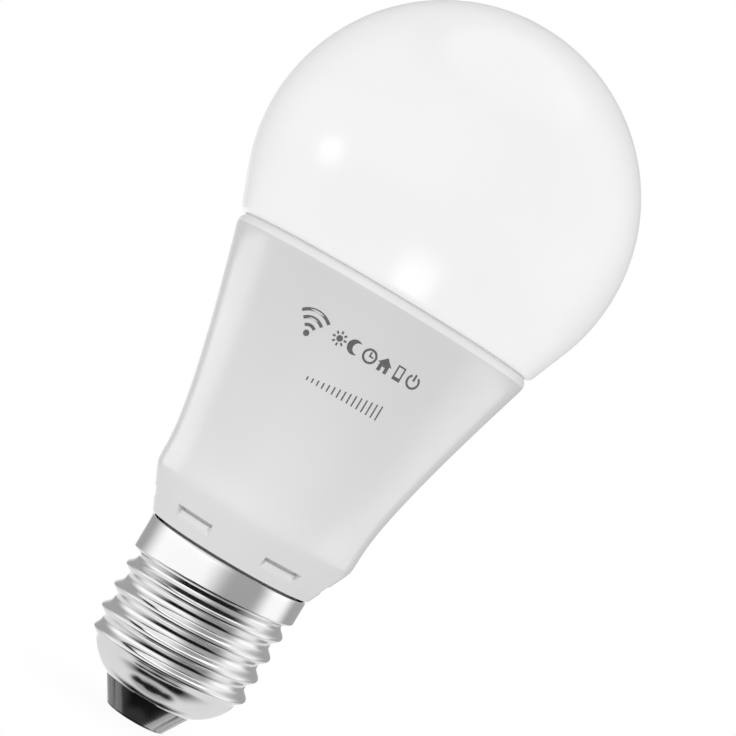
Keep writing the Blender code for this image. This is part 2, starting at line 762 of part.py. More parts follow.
def transformer(centre):
    """Flyback transformer: a ferrite core, and a bobbin and a winding round its middle leg."""
    core_size = Vector((13, 5, 12)) * MM
    leg = 3.5 * MM
    side_leg = 2.0 * MM
    window_height = 8.0 * MM
    window = (core_size.x - leg) / 2 - side_leg
    window_x = (leg + window) / 2
    centre = Vector(centre)
    core = block("transformer_core", core_size, centre)
    window_size = (window, 2 * core_size.y, window_height)
    window_places = [centre + Vector((side * window_x, 0, 0)) for side in (-1, 1)]
    boolean(core, bars("window_cutter", window_size, window_places), "DIFFERENCE")
    finish(core, (0.07, 0.07, 0.07), 0.6)

    tube_bore = Vector((leg + 2 * GAP, core_size.y + 2 * GAP, 20 * MM))
    tube_wall = 0.4 * MM
    tube_x = tube_bore.x + 2 * tube_wall
    tube_y = tube_bore.y + 2 * tube_wall
    flange = 0.7 * MM
    bobbin_height = window_height - 2 * GAP
    flange_x = leg + 2 * (window - GAP)
    flange_y = core_size.y + 4.6 * MM
    bobbin = block("transformer_bobbin", (tube_x, tube_y, bobbin_height), centre)
    flange_offset = Vector((0, 0, (bobbin_height - flange) / 2))
    flanges = bars(
        "bobbin_flanges",
        (flange_x, flange_y, flange),
        [centre - flange_offset, centre + flange_offset],
    )
    boolean(bobbin, flanges, "UNION")
    boolean(bobbin, bars("bobbin_bore", tube_bore, [centre]), "DIFFERENCE")
    finish(bobbin, (0.05, 0.05, 0.05), 0.5)

    winding_height = bobbin_height - 2 * flange - 2 * GAP
    winding_size = (flange_x, flange_y - 0.6 * MM, winding_height)
    winding = block("transformer_winding", winding_size, centre, bevel=0.6 * MM)
    winding_bore = (tube_x + 2 * GAP, tube_y + 2 * GAP, 20 * MM)
    boolean(winding, bars("winding_bore", winding_bore, [centre]), "DIFFERENCE")
    finish(winding, (0.85, 0.65, 0.1), 0.5)


def inductor(place):
    """Input filter choke: a ferrite drum and the winding in its groove."""
    flange_radius = 3.5 * MM
    waist_radius = 1.5 * MM
    height = 8.5 * MM
    flange = 1.0 * MM
    drum = [
        (0, height),
        (flange_radius, height),
        (flange_radius, height - flange),
        (waist_radius, height - flange),
        (waist_radius, flange),
        (flange_radius, flange),
        (flange_radius, 0),
        (0, 0),
    ]
    core = turned("inductor_core", drum, closed=False, location=place)
    finish(core, (0.08, 0.08, 0.08), 0.6)
    outer = flange_radius - 0.3 * MM
    inner = waist_radius + GAP
    coil = [
        (outer - 0.2 * MM, height - flange - GAP),
        (outer, height - flange - GAP - 0.3 * MM),
        (outer, flange + GAP + 0.3 * MM),
        (outer - 0.2 * MM, flange + GAP),
        (inner, flange + GAP),
        (inner, height - flange - GAP),
    ]
    winding = turned("inductor_winding", coil, location=place)
    finish(winding, (0.6, 0.25, 0.1), 0.35, 1.0)


def legged_chip(name, body_size, centre, rows, leg_span):
    """Surface-mount package on the back of the driver board. Each row of legs is one flat bar
    through the body, close to the board."""
    chip = block(name, body_size, centre, bevel=0.2 * MM)
    leg_y = centre[1] - body_size[1] / 2 + 0.35 * MM
    pitch = 1.27 * MM
    first_z = centre[2] - pitch * (rows - 1) / 2
    places = [(centre[0], leg_y, first_z + i * pitch) for i in range(rows)]
    boolean(chip, bars(name + "_legs", (leg_span, 0.25 * MM, 0.5 * MM), places), "UNION")
    return finish(chip, (0.03, 0.03, 0.03), 0.5)


def surface_mount_chips():
    back_y = DRIVER_FACE_Y + DRIVER_THICKNESS + GAP
    rectifier = Vector((4.4, 1.6, 3.6)) * MM
    controller = Vector((4.0, 1.5, 5.0)) * MM
    diode = Vector((2.6, 1.8, 2.4)) * MM
    regulator = Vector((2.5, 1.3, 3.4)) * MM
    chips = (
        ("bridge_rectifier", rectifier, RECTIFIER_XZ, 2, 6.4 * MM),
        ("driver_controller", controller, CONTROLLER_XZ, 4, 6.0 * MM),
        ("output_diode", diode, OUTPUT_DIODE_XZ, 1, 4.8 * MM),
        ("radio_regulator", regulator, REGULATOR_XZ, 2, 4.4 * MM),
    )
    for name, size, (x, z), rows, leg_span in chips:
        centre = (x, back_y + size.y / 2, z)
        legged_chip(name, size, centre, rows, leg_span)


def fuse_resistor():
    """Wire-ended fusible resistor standing beside the driver board."""
    body_radius = 1.3 * MM
    lead_radius = 0.3 * MM
    half_body = 3.2 * MM
    half_length = 4.6 * MM
    profile = [
        (0, half_length),
        (lead_radius, half_length),
        (lead_radius, half_body),
        (body_radius, half_body - 0.4 * MM),
        (body_radius, half_body - 1.5 * MM),
        (body_radius * 0.85, half_body - 1.8 * MM),
        (body_radius * 0.85, 1.8 * MM - half_body),
        (body_radius, 1.5 * MM - half_body),
        (body_radius, 0.4 * MM - half_body),
        (lead_radius, -half_body),
        (lead_radius, -half_length),
        (0, -half_length),
    ]
    resistor = turned("fuse_resistor", profile, 14, closed=False, location=FUSE_RESISTOR_CENTRE)
    return finish(resistor, (0.25, 0.45, 0.35), 0.5)


def varistor():
    """Surge-protection disc on the back of the board."""
    thickness = 3.2 * MM
    radius = 3.5 * MM
    x, z = VARISTOR_XZ
    y = DRIVER_FACE_Y + DRIVER_THICKNESS + GAP + thickness / 2
    disc_part = rod("varistor", radius, thickness, (x, y, z))
    disc_part.rotation_euler.x = math.radians(90)
    modifier = disc_part.modifiers.new("edges", "BEVEL")
    modifier.width = 0.7 * MM
    modifier.segments = 2
    modifier.limit_method = "ANGLE"
    return finish(disc_part, (0.05, 0.2, 0.55), 0.35)


def film_capacitor():
    size = Vector((7.2, 4.0, 6.0)) * MM
    x, z = FILM_CAPACITOR_XZ
    y = DRIVER_FACE_Y - GAP - size.y / 2
    part = block("film_capacitor", size, (x, y, z), bevel=0.4 * MM)
    return finish(part, (0.75, 0.5, 0.08), 0.4)


def mains_wires():
    """Live wire up from the contact pin, and neutral wire out to the cap's inner wall."""
    live = [
        (0, 0, 7.45 * MM),
        (0, 0, 10.25 * MM),
        (1.0 * MM, 0.8 * MM, 14.25 * MM),
        (2.0 * MM, WIRE_Y, 17.25 * MM),
        (2.0 * MM, WIRE_Y, 20.25 * MM),
    ]
    neutral = [
        (-6.5 * MM, WIRE_Y, 20.25 * MM),
        (-6.6 * MM, WIRE_Y, 17.75 * MM),
        (-7.6 * MM, 1.0 * MM, 15.25 * MM),
        (-9.2 * MM, 0.4 * MM, 13.85 * MM),
        (-10.6 * MM, 0, 13.45 * MM),
    ]
    finish(wire("live_wire", live), (0.3, 0.12, 0.06), 0.45)
    finish(wire("neutral_wire", neutral), (0.06, 0.15, 0.45), 0.45)


def driver():
    driver_board()
    electrolytic("bulk_capacitor", 4.0 * MM, 13.0 * MM, BULK_CAPACITOR_FOOT)
    electrolytic("output_capacitor", 4.0 * MM, 11.0 * MM, OUTPUT_CAPACITOR_FOOT)
    inductor(INDUCTOR_FOOT)
    transformer(TRANSFORMER_CENTRE)
    surface_mount_chips()
    fuse_resistor()
    varistor()
    film_capacitor()
    mains_wires()


def light_engine():
    openings = board_openings()
    heat_spreader(openings)
    thermal_pad(openings)
    led_board(openings)
    leds()
    board_screw("board_screw_1", -SCREW_Y)
    board_screw("board_screw_2", SCREW_Y)
    finish(led_wire("led_wire_positive", 1), (0.6, 0.05, 0.04), 0.45)
    finish(led_wire("led_wire_negative", -1), (0.03, 0.03, 0.03), 0.45)


def radio_module():
    radio_board()
    radio_shield_can()
    radio_antenna()
    radio_header()


def screw_cap():
    cap_shell()
    cap_insulator()
    centre_contact()


clear_scene()
parts = new_collection("smart_light_bulb")
tools = new_collection("cutters")
root = bpy.data.objects.new("smart_light_bulb_origin", None)
parts.objects.link(root)

diffuser_globe()
adhesive_bead()
housing()
screw_cap()
light_engine()
radio_module()
driver()
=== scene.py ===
import json
import math

import bmesh
import bpy
from mathutils import Matrix, Vector


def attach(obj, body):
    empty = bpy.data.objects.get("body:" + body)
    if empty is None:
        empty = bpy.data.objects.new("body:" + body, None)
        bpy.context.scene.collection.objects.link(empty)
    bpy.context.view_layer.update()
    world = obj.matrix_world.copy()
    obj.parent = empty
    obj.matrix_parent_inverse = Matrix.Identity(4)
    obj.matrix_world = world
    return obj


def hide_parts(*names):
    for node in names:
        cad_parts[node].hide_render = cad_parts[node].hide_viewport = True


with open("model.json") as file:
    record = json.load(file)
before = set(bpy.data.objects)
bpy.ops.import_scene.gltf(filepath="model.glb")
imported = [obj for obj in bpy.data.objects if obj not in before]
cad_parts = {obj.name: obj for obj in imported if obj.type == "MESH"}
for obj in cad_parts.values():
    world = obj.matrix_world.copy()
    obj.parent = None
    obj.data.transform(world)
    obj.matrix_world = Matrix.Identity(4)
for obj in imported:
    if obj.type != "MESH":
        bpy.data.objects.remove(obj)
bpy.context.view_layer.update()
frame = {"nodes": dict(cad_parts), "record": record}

MM = 0.001
GAP = 0.3 * MM

# Camera: level with the housing, rolled so that the bulb leans to the right
CAMERA_DISTANCE = 359 * MM
CAMERA_HEIGHT = 57.45 * MM
CAMERA_TARGET = Vector((3.34, 0, 63.85)) * MM
CAMERA_ROLL = math.radians(30.75)
VIEW_WIDTH = 111.85 * MM  # what the picture's width takes in at the bulb's axis
SENSOR_WIDTH = 36.0

# Globe, repeated from the CAD model. Its edge is a little lower, because on the real bulb it
# touches the rim
GLOBE_RADIUS = 30.0 * MM
GLOBE_CENTRE_Z = 91.75 * MM
GLOBE_WALL = 1.2 * MM
GLOBE_TAPER = math.radians(21.5)
GLOBE_EDGE_Z = 74.42 * MM
GLOBE_EDGE_ROUND = 1.4 * MM
SKIRT_RADIUS = 23.3 * MM
SKIRT_INNER_RADIUS = 22.0 * MM
SKIRT_BOTTOM_Z = 72.65 * MM

# Housing, repeated from the CAD model
RIM_TOP_Z = 74.4 * MM
RIM_RADIUS = 25.1 * MM
RIM_ROUND_WIDTH = 0.9 * MM
RIM_ROUND_HEIGHT = 1.3 * MM
FLARE_TOP = (25.0 * MM, 72.45 * MM)
FLARE_BOTTOM = (16.93 * MM, 35.75 * MM)
FLARE_TOP_HANDLE = 32.0 * MM
FLARE_BOTTOM_HANDLE = 3.4 * MM
FLARE_TOP_SLOPE = 0.299
FLARE_BOTTOM_SLOPE = 0.163
HOUSING_WALL = 1.6 * MM
NECK_TOP = (16.6 * MM, 34.85 * MM)
NECK_BOTTOM = (13.8 * MM, 28.95 * MM)
SEAM_Z = 28.75 * MM
SPIGOT_RADIUS = 11.3 * MM
SPIGOT_BORE = 10.0 * MM
SPIGOT_BOTTOM_Z = 16.25 * MM
LEDGE_Z = 70.45 * MM
NOTCH_COUNT = 6
NOTCH_TOP_Z = 32.35 * MM
NOTCH_FLOOR_RADIUS = 14.6 * MM
NOTCH_ANGLE = 26.0  # degrees
NOTCH_EDGE_ANGLE = 0.55  # degrees that a notch's side wall takes up
NOTCH_ROOF = 0.16 * MM  # height that its roof takes up
# Groove along a notch's roof and side walls: its depth, how far from the roof it is full and
# ends, the same from a side wall in degrees, and how deep it is there compared with the roof
GROOVE_DEPTH = 0.45 * MM
GROOVE_FULL_DROP = 0.35 * MM
GROOVE_END_DROP = 0.6 * MM
GROOVE_FULL_ANGLE = 1.8
GROOVE_END_ANGLE = 2.4
GROOVE_SIDE_SHARE = 0.5

# Screw cap, repeated from the CAD model
PITCH = 3.629 * MM
CREST_RADIUS = 13.2 * MM
ROOT_RADIUS = 12.1 * MM
COLLAR_RADIUS = 13.45 * MM
CREST_SHARPNESS = 1.5
FIRST_CREST_Z = 21.8 * MM
CAP_WALL = 0.35 * MM
CAP_TOP_Z = 28.35 * MM
THREAD_FADE_TOP_Z = 10.85 * MM
THREAD_FADE_BOTTOM_Z = 8.05 * MM
CUP_CENTRE = (7.0 * MM, 9.55 * MM)
CUP_HALF_WIDTH = 5.1 * MM
CUP_DEPTH = 5.2 * MM
CUP_EXPONENT = 1.5
LIP_Z = 4.55 * MM
INSULATOR_WAIST_RADIUS = 7.0 * MM
INSULATOR_TOP_RADIUS = 7.35 * MM
INSULATOR_BOTTOM_RADIUS = 4.95 * MM
INSULATOR_BOTTOM_Z = 0.3 * MM
CONTACT_RADIUS = 4.0 * MM
CONTACT_THICKNESS = 0.6 * MM
BOSS_RADIUS = 2.7 * MM
BOSS_HEIGHT = 0.3 * MM

SMOOTH_ANGLE = math.radians(38)

# Print on the housing's front, in mm: across from the middle, and up
PRINT_UPPER_Z = 65.0
PRINT_LOWER_Z = 58.65
RADIO_SYMBOL_X = -7.15
RADIO_SYMBOL_SIZE = 2.35
SYMBOL_ROW = (-2.5, 10.0)
SYMBOL_SIZE = 1.12
DIMMER_SCALE = (-3.6, 8.0)
DIMMER_HEIGHT = 2.3


# ---------------------------------------------------------------- node helpers


def new_material(name):
    material = bpy.data.materials.new(name)
    material.use_nodes = True
    tree = material.node_tree
    return material, tree, tree.nodes["Principled BSDF"]


def math_node(tree, operation, first, second=None):
    """A Math node; each input is a number or another node's output."""
    node = tree.nodes.new("ShaderNodeMath")
    node.operation = operation
    for socket, value in zip(node.inputs, (first, second)):
        if isinstance(value, (int, float)):
            socket.default_value = value
        elif value is not None:
            tree.links.new(value, socket)
    return node.outputs[0]


def map_range(tree, value, low, high, to_low, to_high, smooth=False):
    node = tree.nodes.new("ShaderNodeMapRange")
    if smooth:
        node.interpolation_type = "SMOOTHSTEP"
    tree.links.new(value, node.inputs["Value"])
    node.inputs["From Min"].default_value = low
    node.inputs["From Max"].default_value = high
    node.inputs["To Min"].default_value = to_low
    node.inputs["To Max"].default_value = to_high
    return node.outputs["Result"]


def place(tree, scale=(1, 1, 1)):
    """Where a point is on the bulb, in metres times scale."""
    coordinates = tree.nodes.new("ShaderNodeTexCoord")
    mapping = tree.nodes.new("ShaderNodeMapping")
    mapping.inputs["Scale"].default_value = scale
    tree.links.new(coordinates.outputs["Object"], mapping.inputs["Vector"])
    return mapping.outputs["Vector"]


def noise(tree, vector, scale, detail=2.0):
    node = tree.nodes.new("ShaderNodeTexNoise")
    node.inputs["Scale"].default_value = scale
    node.inputs["Detail"].default_value = detail
    tree.links.new(vector, node.inputs["Vector"])
    return node.outputs["Fac"]


def colours(tree, value, stops):
    """A colour ramp through (position, colour) stops."""
    node = tree.nodes.new("ShaderNodeValToRGB")
    elements = node.color_ramp.elements
    while len(elements) > 1:
        elements.remove(elements[-1])
    for i, (position, colour) in enumerate(stops):
        element = elements[0] if i == 0 else elements.new(position)
        element.position = position
        element.color = (*colour, 1.0)
    tree.links.new(value, node.inputs["Fac"])
    return node.outputs["Color"]


def mix_colours(tree, factor, first, second):
    """From the first colour, a node's output, to the second, which is plain."""
    node = tree.nodes.new("ShaderNodeMix")
    node.data_type = "RGBA"
    colour_a, colour_b = node.inputs[6:8]
    tree.links.new(factor, node.inputs["Factor"])
    tree.links.new(first, colour_a)
    colour_b.default_value = (*second, 1)
    return node.outputs[2]


def mix_shaders(tree, factor, first, second):
    node = tree.nodes.new("ShaderNodeMixShader")
    for socket, output in zip(node.inputs, (factor, first, second)):
        tree.links.new(output, socket)
    return node.outputs[0]


def bump(tree, shader, height, depth, strength=1.0):
    node = tree.nodes.new("ShaderNodeBump")
    node.inputs["Strength"].default_value = strength
    node.inputs["Distance"].default_value = depth
    tree.links.new(height, node.inputs["Height"])
    tree.links.new(node.outputs["Normal"], shader.inputs["Normal"])


def shaded(colour, factor):
    return tuple(min(channel * factor, 1.0) for channel in colour)


def paint(tree, shader, value, colour, spread):
    """Base colour that goes a little darker and lighter with a pattern."""
    stops = [(0.3, shaded(colour, 1 - spread)), (0.7, shaded(colour, 1 + spread))]
    tree.links.new(colours(tree, value, stops), shader.inputs["Base Color"])


def roughen(tree, shader, value, low, high):
    tree.links.new(map_range(tree, value, 0.3, 0.7, low, high), shader.inputs["Roughness"])


# ---------------------------------------------------------------- materials of the outer pieces


def opal_material():
    """Satin opal plastic of the globe."""
    material, tree, shader = new_material("opal_diffuser")
    at = place(tree)
    paint(tree, shader, noise(tree, at, 60), (0.9, 0.9, 0.897), 0.006)
    shader.inputs["Specular IOR Level"].default_value = 0.3
    roughen(tree, shader, noise(tree, at, 250), 0.2, 0.26)
    bump(tree, shader, noise(tree, at, 4000), 0.01 * MM, 0.25)
    return material


def housing_material():
    """White moulded plastic with a fine spark-eroded grain. The rim's top band has a painted
    highlight: a lighter base colour that stands in for light on its rounded edge."""
    painted_highlight_height = 1.3 * MM
    painted_highlight_fade = 0.15 * MM
    material, tree, shader = new_material("white_housing")
    at = place(tree)
    split = tree.nodes.new("ShaderNodeSeparateXYZ")
    tree.links.new(at, split.inputs["Vector"])
    painted_highlight_z = RIM_TOP_Z - painted_highlight_height
    # painted highlight: the base colour goes lighter over the rim's top band
    rim = map_range(tree, split.outputs["Z"], painted_highlight_z - painted_highlight_fade, painted_highlight_z, 0, 1, True)
    body = colours(tree, noise(tree, at, 70), [(0.3, (0.65,) * 3), (0.7, (0.665,) * 3)])
    colour = mix_colours(tree, rim, body, (0.8, 0.8, 0.8))
    tree.links.new(colour, shader.inputs["Base Color"])
    roughen(tree, shader, noise(tree, at, 300), 0.2, 0.27)
    bump(tree, shader, noise(tree, at, 3500), 0.01 * MM, 0.3)
    return material


def nickel_material():
    """Bright nickel plating. It shows the drawing lines round the cap and faint handling marks."""
    material, tree, shader = new_material("nickel_cap")
    at = place(tree)
    marks = noise(tree, at, 260, 3)
    paint(tree, shader, marks, (0.87, 0.87, 0.875), 0.02)
    shader.inputs["Metallic"].default_value = 1.0
    roughen(tree, shader, marks, 0.1, 0.15)
    lines = noise(tree, place(tree, (60, 60, 4000)), 1.0, 3)
    bump(tree, shader, lines, 0.004 * MM, 0.3)
    return material


def black_glass_material():
    """Fused black glass, slightly wavy."""
    material, tree, shader = new_material("black_glass")
    at = place(tree)
    flow = noise(tree, at, 220, 3)
    paint(tree, shader, flow, (0.006, 0.006, 0.006), 0.4)
    roughen(tree, shader, flow, 0.1, 0.15)
    bump(tree, shader, flow, 0.05 * MM, 0.4)
    return material


def ink_material():
    """Grey pad-printed ink with a fine speckle."""
    material, tree, shader = new_material("print_ink")
    speckle = noise(tree, place(tree), 5000, 3)
    paint(tree, shader, speckle, (0.125, 0.125, 0.13), 0.25)
    roughen(tree, shader, speckle, 0.4, 0.55)
    return material


# ---------------------------------------------------------------- materials of the inner pieces


def metal(name, colour, roughness, grain_scale=(1, 1, 1), grain=900):
    """Bare metal with a grain, which a stretched scale turns into brushing or drawing lines."""
    material, tree, shader = new_material(name)
    pattern = noise(tree, place(tree, grain_scale), grain, 3)
    paint(tree, shader, pattern, colour, 0.06)
    shader.inputs["Metallic"].default_value = 1.0
    roughen(tree, shader, pattern, roughness * 0.8, roughness * 1.25)
    bump(tree, shader, pattern, 0.02 * MM, 0.3)
    return material


def moulded(name, colour, roughness, grain=2500, spread=0.08):
    """Plastic, rubber, ferrite or a coating: a fine grain over a slow change of tone."""
    material, tree, shader = new_material(name)
    at = place(tree)
    paint(tree, shader, noise(tree, at, grain / 12), colour, spread)
    pattern = noise(tree, at, grain)
    roughen(tree, shader, pattern, roughness * 0.85, roughness * 1.15)
    bump(tree, shader, pattern, 0.03 * MM, 0.35)
    return material


def solder_mask(name, colour):
    """Circuit board: lacquer over tracks, which show as lighter bands in low relief."""
    material, tree, shader = new_material(name)
    tracks = tree.nodes.new("ShaderNodeTexBrick")
    tracks.inputs["Scale"].default_value = 260
    tracks.inputs["Mortar Size"].default_value = 0.03
    tracks.inputs["Color1"].default_value = (*shaded(colour, 0.9), 1)
    tracks.inputs["Color2"].default_value = (*shaded(colour, 1.1), 1)
    tracks.inputs["Mortar"].default_value = (*shaded(colour, 1.5), 1)
    swap = tree.nodes.new("ShaderNodeMapping")
    swap.inputs["Rotation"].default_value = (math.radians(90), 0, 0)
    tree.links.new(place(tree), swap.inputs["Vector"])
    tree.links.new(swap.outputs["Vector"], tracks.inputs["Vector"])
    tree.links.new(tracks.outputs["Color"], shader.inputs["Base Color"])
    roughen(tree, shader, noise(tree, place(tree), 700), 0.3, 0.42)
    bump(tree, shader, tracks.outputs["Fac"], 0.02 * MM, 0.5)
    return material


def phosphor(name, colour):
    """Grainy phosphor gel of an LED."""
    material, tree, shader = new_material(name)
    grains = noise(tree, place(tree), 6000, 3)
    paint(tree, shader, grains, colour, 0.12)
    roughen(tree, shader, grains, 0.25, 0.4)
    bump(tree, shader, grains, 0.02 * MM, 0.4)
    return material


def wound(name, colour, turn_height):
    """Wire or tape wound round the Z axis, one ridge for each turn."""
    bands_per_metre = 3  # of the wave texture at scale 1
    material, tree, shader = new_material(name)
    turns = tree.nodes.new("ShaderNodeTexWave")
    turns.bands_direction = "Z"
    turns.inputs["Scale"].default_value = 1 / turn_height / bands_per_metre
    turns.inputs["Distortion"].default_value = 0.6
    tree.links.new(place(tree), turns.inputs["Vector"])
    paint(tree, shader, turns.outputs["Fac"], colour, 0.15)
    roughen(tree, shader, turns.outputs["Fac"], 0.3, 0.45)
    bump(tree, shader, turns.outputs["Fac"], 0.1 * MM, 0.6)
    return material


def striped_sleeve(name, colour):
    """Capacitor sleeve: dark, with a pale stripe down one side."""
    material, tree, shader = new_material(name)
    at = place(tree)
    split = tree.nodes.new("ShaderNodeSeparateXYZ")
    tree.links.new(at, split.inputs["Vector"])
    tone = noise(tree, at, 500)
    stripe_y = -6.0 * MM
    edge = 0.1 * MM
    side = map_range(tree, split.outputs["Y"], stripe_y - edge, stripe_y + edge, 1, 0, True)
    stripe = math_node(tree, "MAXIMUM", side, math_node(tree, "MULTIPLY", tone, 0.2))
    stops = [(0.0, shaded(colour, 0.9)), (0.2, shaded(colour, 1.1)), (1.0, (0.55, 0.57, 0.6))]
    tree.links.new(colours(tree, stripe, stops), shader.inputs["Base Color"])
    roughen(tree, shader, tone, 0.25, 0.38)
    bump(tree, shader, tone, 0.02 * MM, 0.3)
    return material


def inner_materials():
    """One material for each of the record's slots inside the bulb."""
    return {
        "silicone": moulded("silicone", (0.85, 0.85, 0.83), 0.5, 1500, 0.03),
        "aluminium": metal("aluminium", (0.8, 0.8, 0.81), 0.35, (1, 1, 12), 500),
        "thermal_pad": moulded("thermal_pad", (0.55, 0.58, 0.62), 0.8, 3000),
        "white_circuit_board": solder_mask("white_circuit_board", (0.8, 0.8, 0.79)),
        "screw_steel": metal("screw_steel", (0.6, 0.6, 0.6), 0.3, (1, 1, 1), 1500),
        "warm_led": phosphor("warm_led", (0.9, 0.72, 0.25)),
        "cool_led": phosphor("cool_led", (0.92, 0.88, 0.45)),
        "blue_circuit_board": solder_mask("blue_circuit_board", (0.04, 0.16, 0.3)),
        "green_circuit_board": solder_mask("green_circuit_board", (0.05, 0.22, 0.1)),
        "shield_metal": metal("shield_metal", (0.7, 0.7, 0.72), 0.3, (1, 1, 15), 400),
        "copper": metal("copper", (0.8, 0.55, 0.3), 0.35),
        "enamelled_copper": wound("enamelled_copper", (0.6, 0.25, 0.1), 0.4 * MM),
        "black_moulding": moulded("black_moulding", (0.03, 0.03, 0.03), 0.5, 4000, 0.2),
        "ferrite": moulded("ferrite", (0.08, 0.08, 0.08), 0.65, 5000, 0.2),
        "yellow_tape": wound("yellow_tape", (0.85, 0.65, 0.1), 3.0 * MM),
        "capacitor_sleeve": striped_sleeve("capacitor_sleeve", (0.05, 0.06, 0.09)),
        "film_capacitor_case": moulded("film_capacitor_case", (0.75, 0.5, 0.08), 0.35, 2000),
        "resistor_coating": moulded("resistor_coating", (0.25, 0.45, 0.35), 0.55, 3500, 0.12),
        "varistor_coating": moulded("varistor_coating", (0.05, 0.2, 0.55), 0.35, 1800, 0.15),
        "red_insulation": moulded("red_insulation", (0.6, 0.05, 0.04), 0.45),
        "black_insulation": moulded("black_insulation", (0.03, 0.03, 0.03), 0.45),
        "brown_insulation": moulded("brown_insulation", (0.3, 0.12, 0.06), 0.45),
        "blue_insulation": moulded("blue_insulation", (0.06, 0.15, 0.45), 0.45),
    }


def dress_inner_nodes(replaced):
    """Gives every CAD node that stays its slot's material."""
    materials = inner_materials()
    for subpart in frame["record"]["subparts"]:
        node = subpart["node"]
        if node in replaced:
            continue
        mesh = frame["nodes"][node].data
        mesh.materials.clear()
        mesh.materials.append(materials[subpart["material_slot"]])


# ---------------------------------------------------------------- mesh helpers


def smoothstep(value, low, high):
    share = min(max((value - low) / (high - low), 0.0), 1.0)
    return share * share * (3 - 2 * share)


def arc(centre, radius, start_deg, end_deg, steps, height=None):
    """Points on an arc in the (radius, height) plane. 0 points outwards and 90 up. height is
    the upright half axis where the arc is part of an ellipse."""
    points = []
    for i in range(steps + 1):
        angle = math.radians(start_deg + (end_deg - start_deg) * i / steps)
        across = centre[0] + radius * math.cos(angle)
        up = centre[1] + (height or radius) * math.sin(angle)
        points.append((max(across, 0.0), up))
    return points


def add_piece(name, mesh, material):
    mesh.materials.append(material)
    obj = bpy.data.objects.new(name, mesh)
    bpy.context.scene.collection.objects.link(obj)
    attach(obj, "root")
    return obj


def shade(mesh):
    mesh.shade_smooth()
    mesh.set_sharp_from_angle(angle=SMOOTH_ANGLE)


def even_angles(count):
    return [2 * math.pi * i / count for i in range(count)]


def revolved(name, profile, angles, closed=True, radius_at=None):
    """Skin of a profile turned round Z. The profile runs down the outer side and up the inner
    one; closed joins its ends, and otherwise it starts and ends on the axis. radius_at(angle,
    row, radius, height) may change a radius, for threads and pockets."""
    bm = bmesh.new()
    rings = []
    for row, (radius, height) in enumerate(profile):
        if radius < 1e-7:
            rings.append([bm.verts.new((0, 0, height))] * len(angles))
            continue
        ring = []
        for angle in angles:
            r = radius_at(angle, row, radius, height) if radius_at else radius
            ring.append(bm.verts.new((r * math.cos(angle), r * math.sin(angle), height)))
        rings.append(ring)
    pairs = list(zip(rings, rings[1:]))
    if closed:
        pairs.append((rings[-1], rings[0]))
    for upper, lower in pairs:
        for i in range(len(angles)):
            j = (i + 1) % len(angles)
            corners = [upper[i], lower[i], lower[j], upper[j]]
            corners = [v for k, v in enumerate(corners) if v not in corners[:k]]
            bm.faces.new(corners)
    bmesh.ops.recalc_face_normals(bm, faces=bm.faces)
    mesh = bpy.data.meshes.new(name)
    bm.to_mesh(mesh)
    bm.free()
    shade(mesh)
    return mesh


# ---------------------------------------------------------------- globe and housing


def fine_globe():
    """Opal shell: a sphere that runs on as a cone, a rounded edge and the skirt."""
    taper = math.degrees(GLOBE_TAPER)
    centre = (0, GLOBE_CENTRE_Z)
    cone_top_radius = GLOBE_RADIUS * math.cos(GLOBE_TAPER)
    cone_top_z = GLOBE_CENTRE_Z - GLOBE_RADIUS * math.sin(GLOBE_TAPER)
    edge_centre_z = GLOBE_EDGE_Z + GLOBE_EDGE_ROUND
    cone_end_z = edge_centre_z - GLOBE_EDGE_ROUND * math.sin(GLOBE_TAPER)
    cone_end_radius = cone_top_radius - (cone_top_z - cone_end_z) * math.tan(GLOBE_TAPER)
    edge_centre_radius = cone_end_radius - GLOBE_EDGE_ROUND * math.cos(GLOBE_TAPER)
    inner_wall = GLOBE_WALL / math.cos(GLOBE_TAPER)
    outer = arc(centre, GLOBE_RADIUS, 90, 0, 40) + arc(centre, GLOBE_RADIUS, 0, -taper, 10)[1:]
    edge = arc((edge_centre_radius, edge_centre_z), GLOBE_EDGE_ROUND, -taper, -90, 8)
    skirt = [
        (SKIRT_RADIUS, GLOBE_EDGE_Z),
        (SKIRT_RADIUS, SKIRT_BOTTOM_Z),
        (SKIRT_INNER_RADIUS, SKIRT_BOTTOM_Z),
        (SKIRT_INNER_RADIUS, edge_centre_z),
        (cone_end_radius - inner_wall, edge_centre_z),
    ]
    inner = arc(centre, GLOBE_RADIUS - GLOBE_WALL, -taper, 90, 24)
    mesh = revolved("globe_skin", outer + edge + skirt + inner, even_angles(144), closed=False)
    globe = add_piece("globe_skin", mesh, opal_material())
    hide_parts("diffuser_globe")
    return globe


def flare_profile(steps):
    """The housing's flared side from its top to the neck, as a cubic Bezier curve."""
    ends = [
        Vector(FLARE_TOP),
        Vector(FLARE_TOP) - Vector((FLARE_TOP_SLOPE, 1)) * FLARE_TOP_HANDLE,
        Vector(FLARE_BOTTOM) + Vector((FLARE_BOTTOM_SLOPE, 1)) * FLARE_BOTTOM_HANDLE,
        Vector(FLARE_BOTTOM),
    ]
    points = []
    for i in range(steps + 1):
        t = i / steps
        s = 1 - t
        at = s**3 * ends[0] + 3 * s * s * t * ends[1] + 3 * s * t * t * ends[2] + t**3 * ends[3]
        points.append((at.x, at.y))
    return points


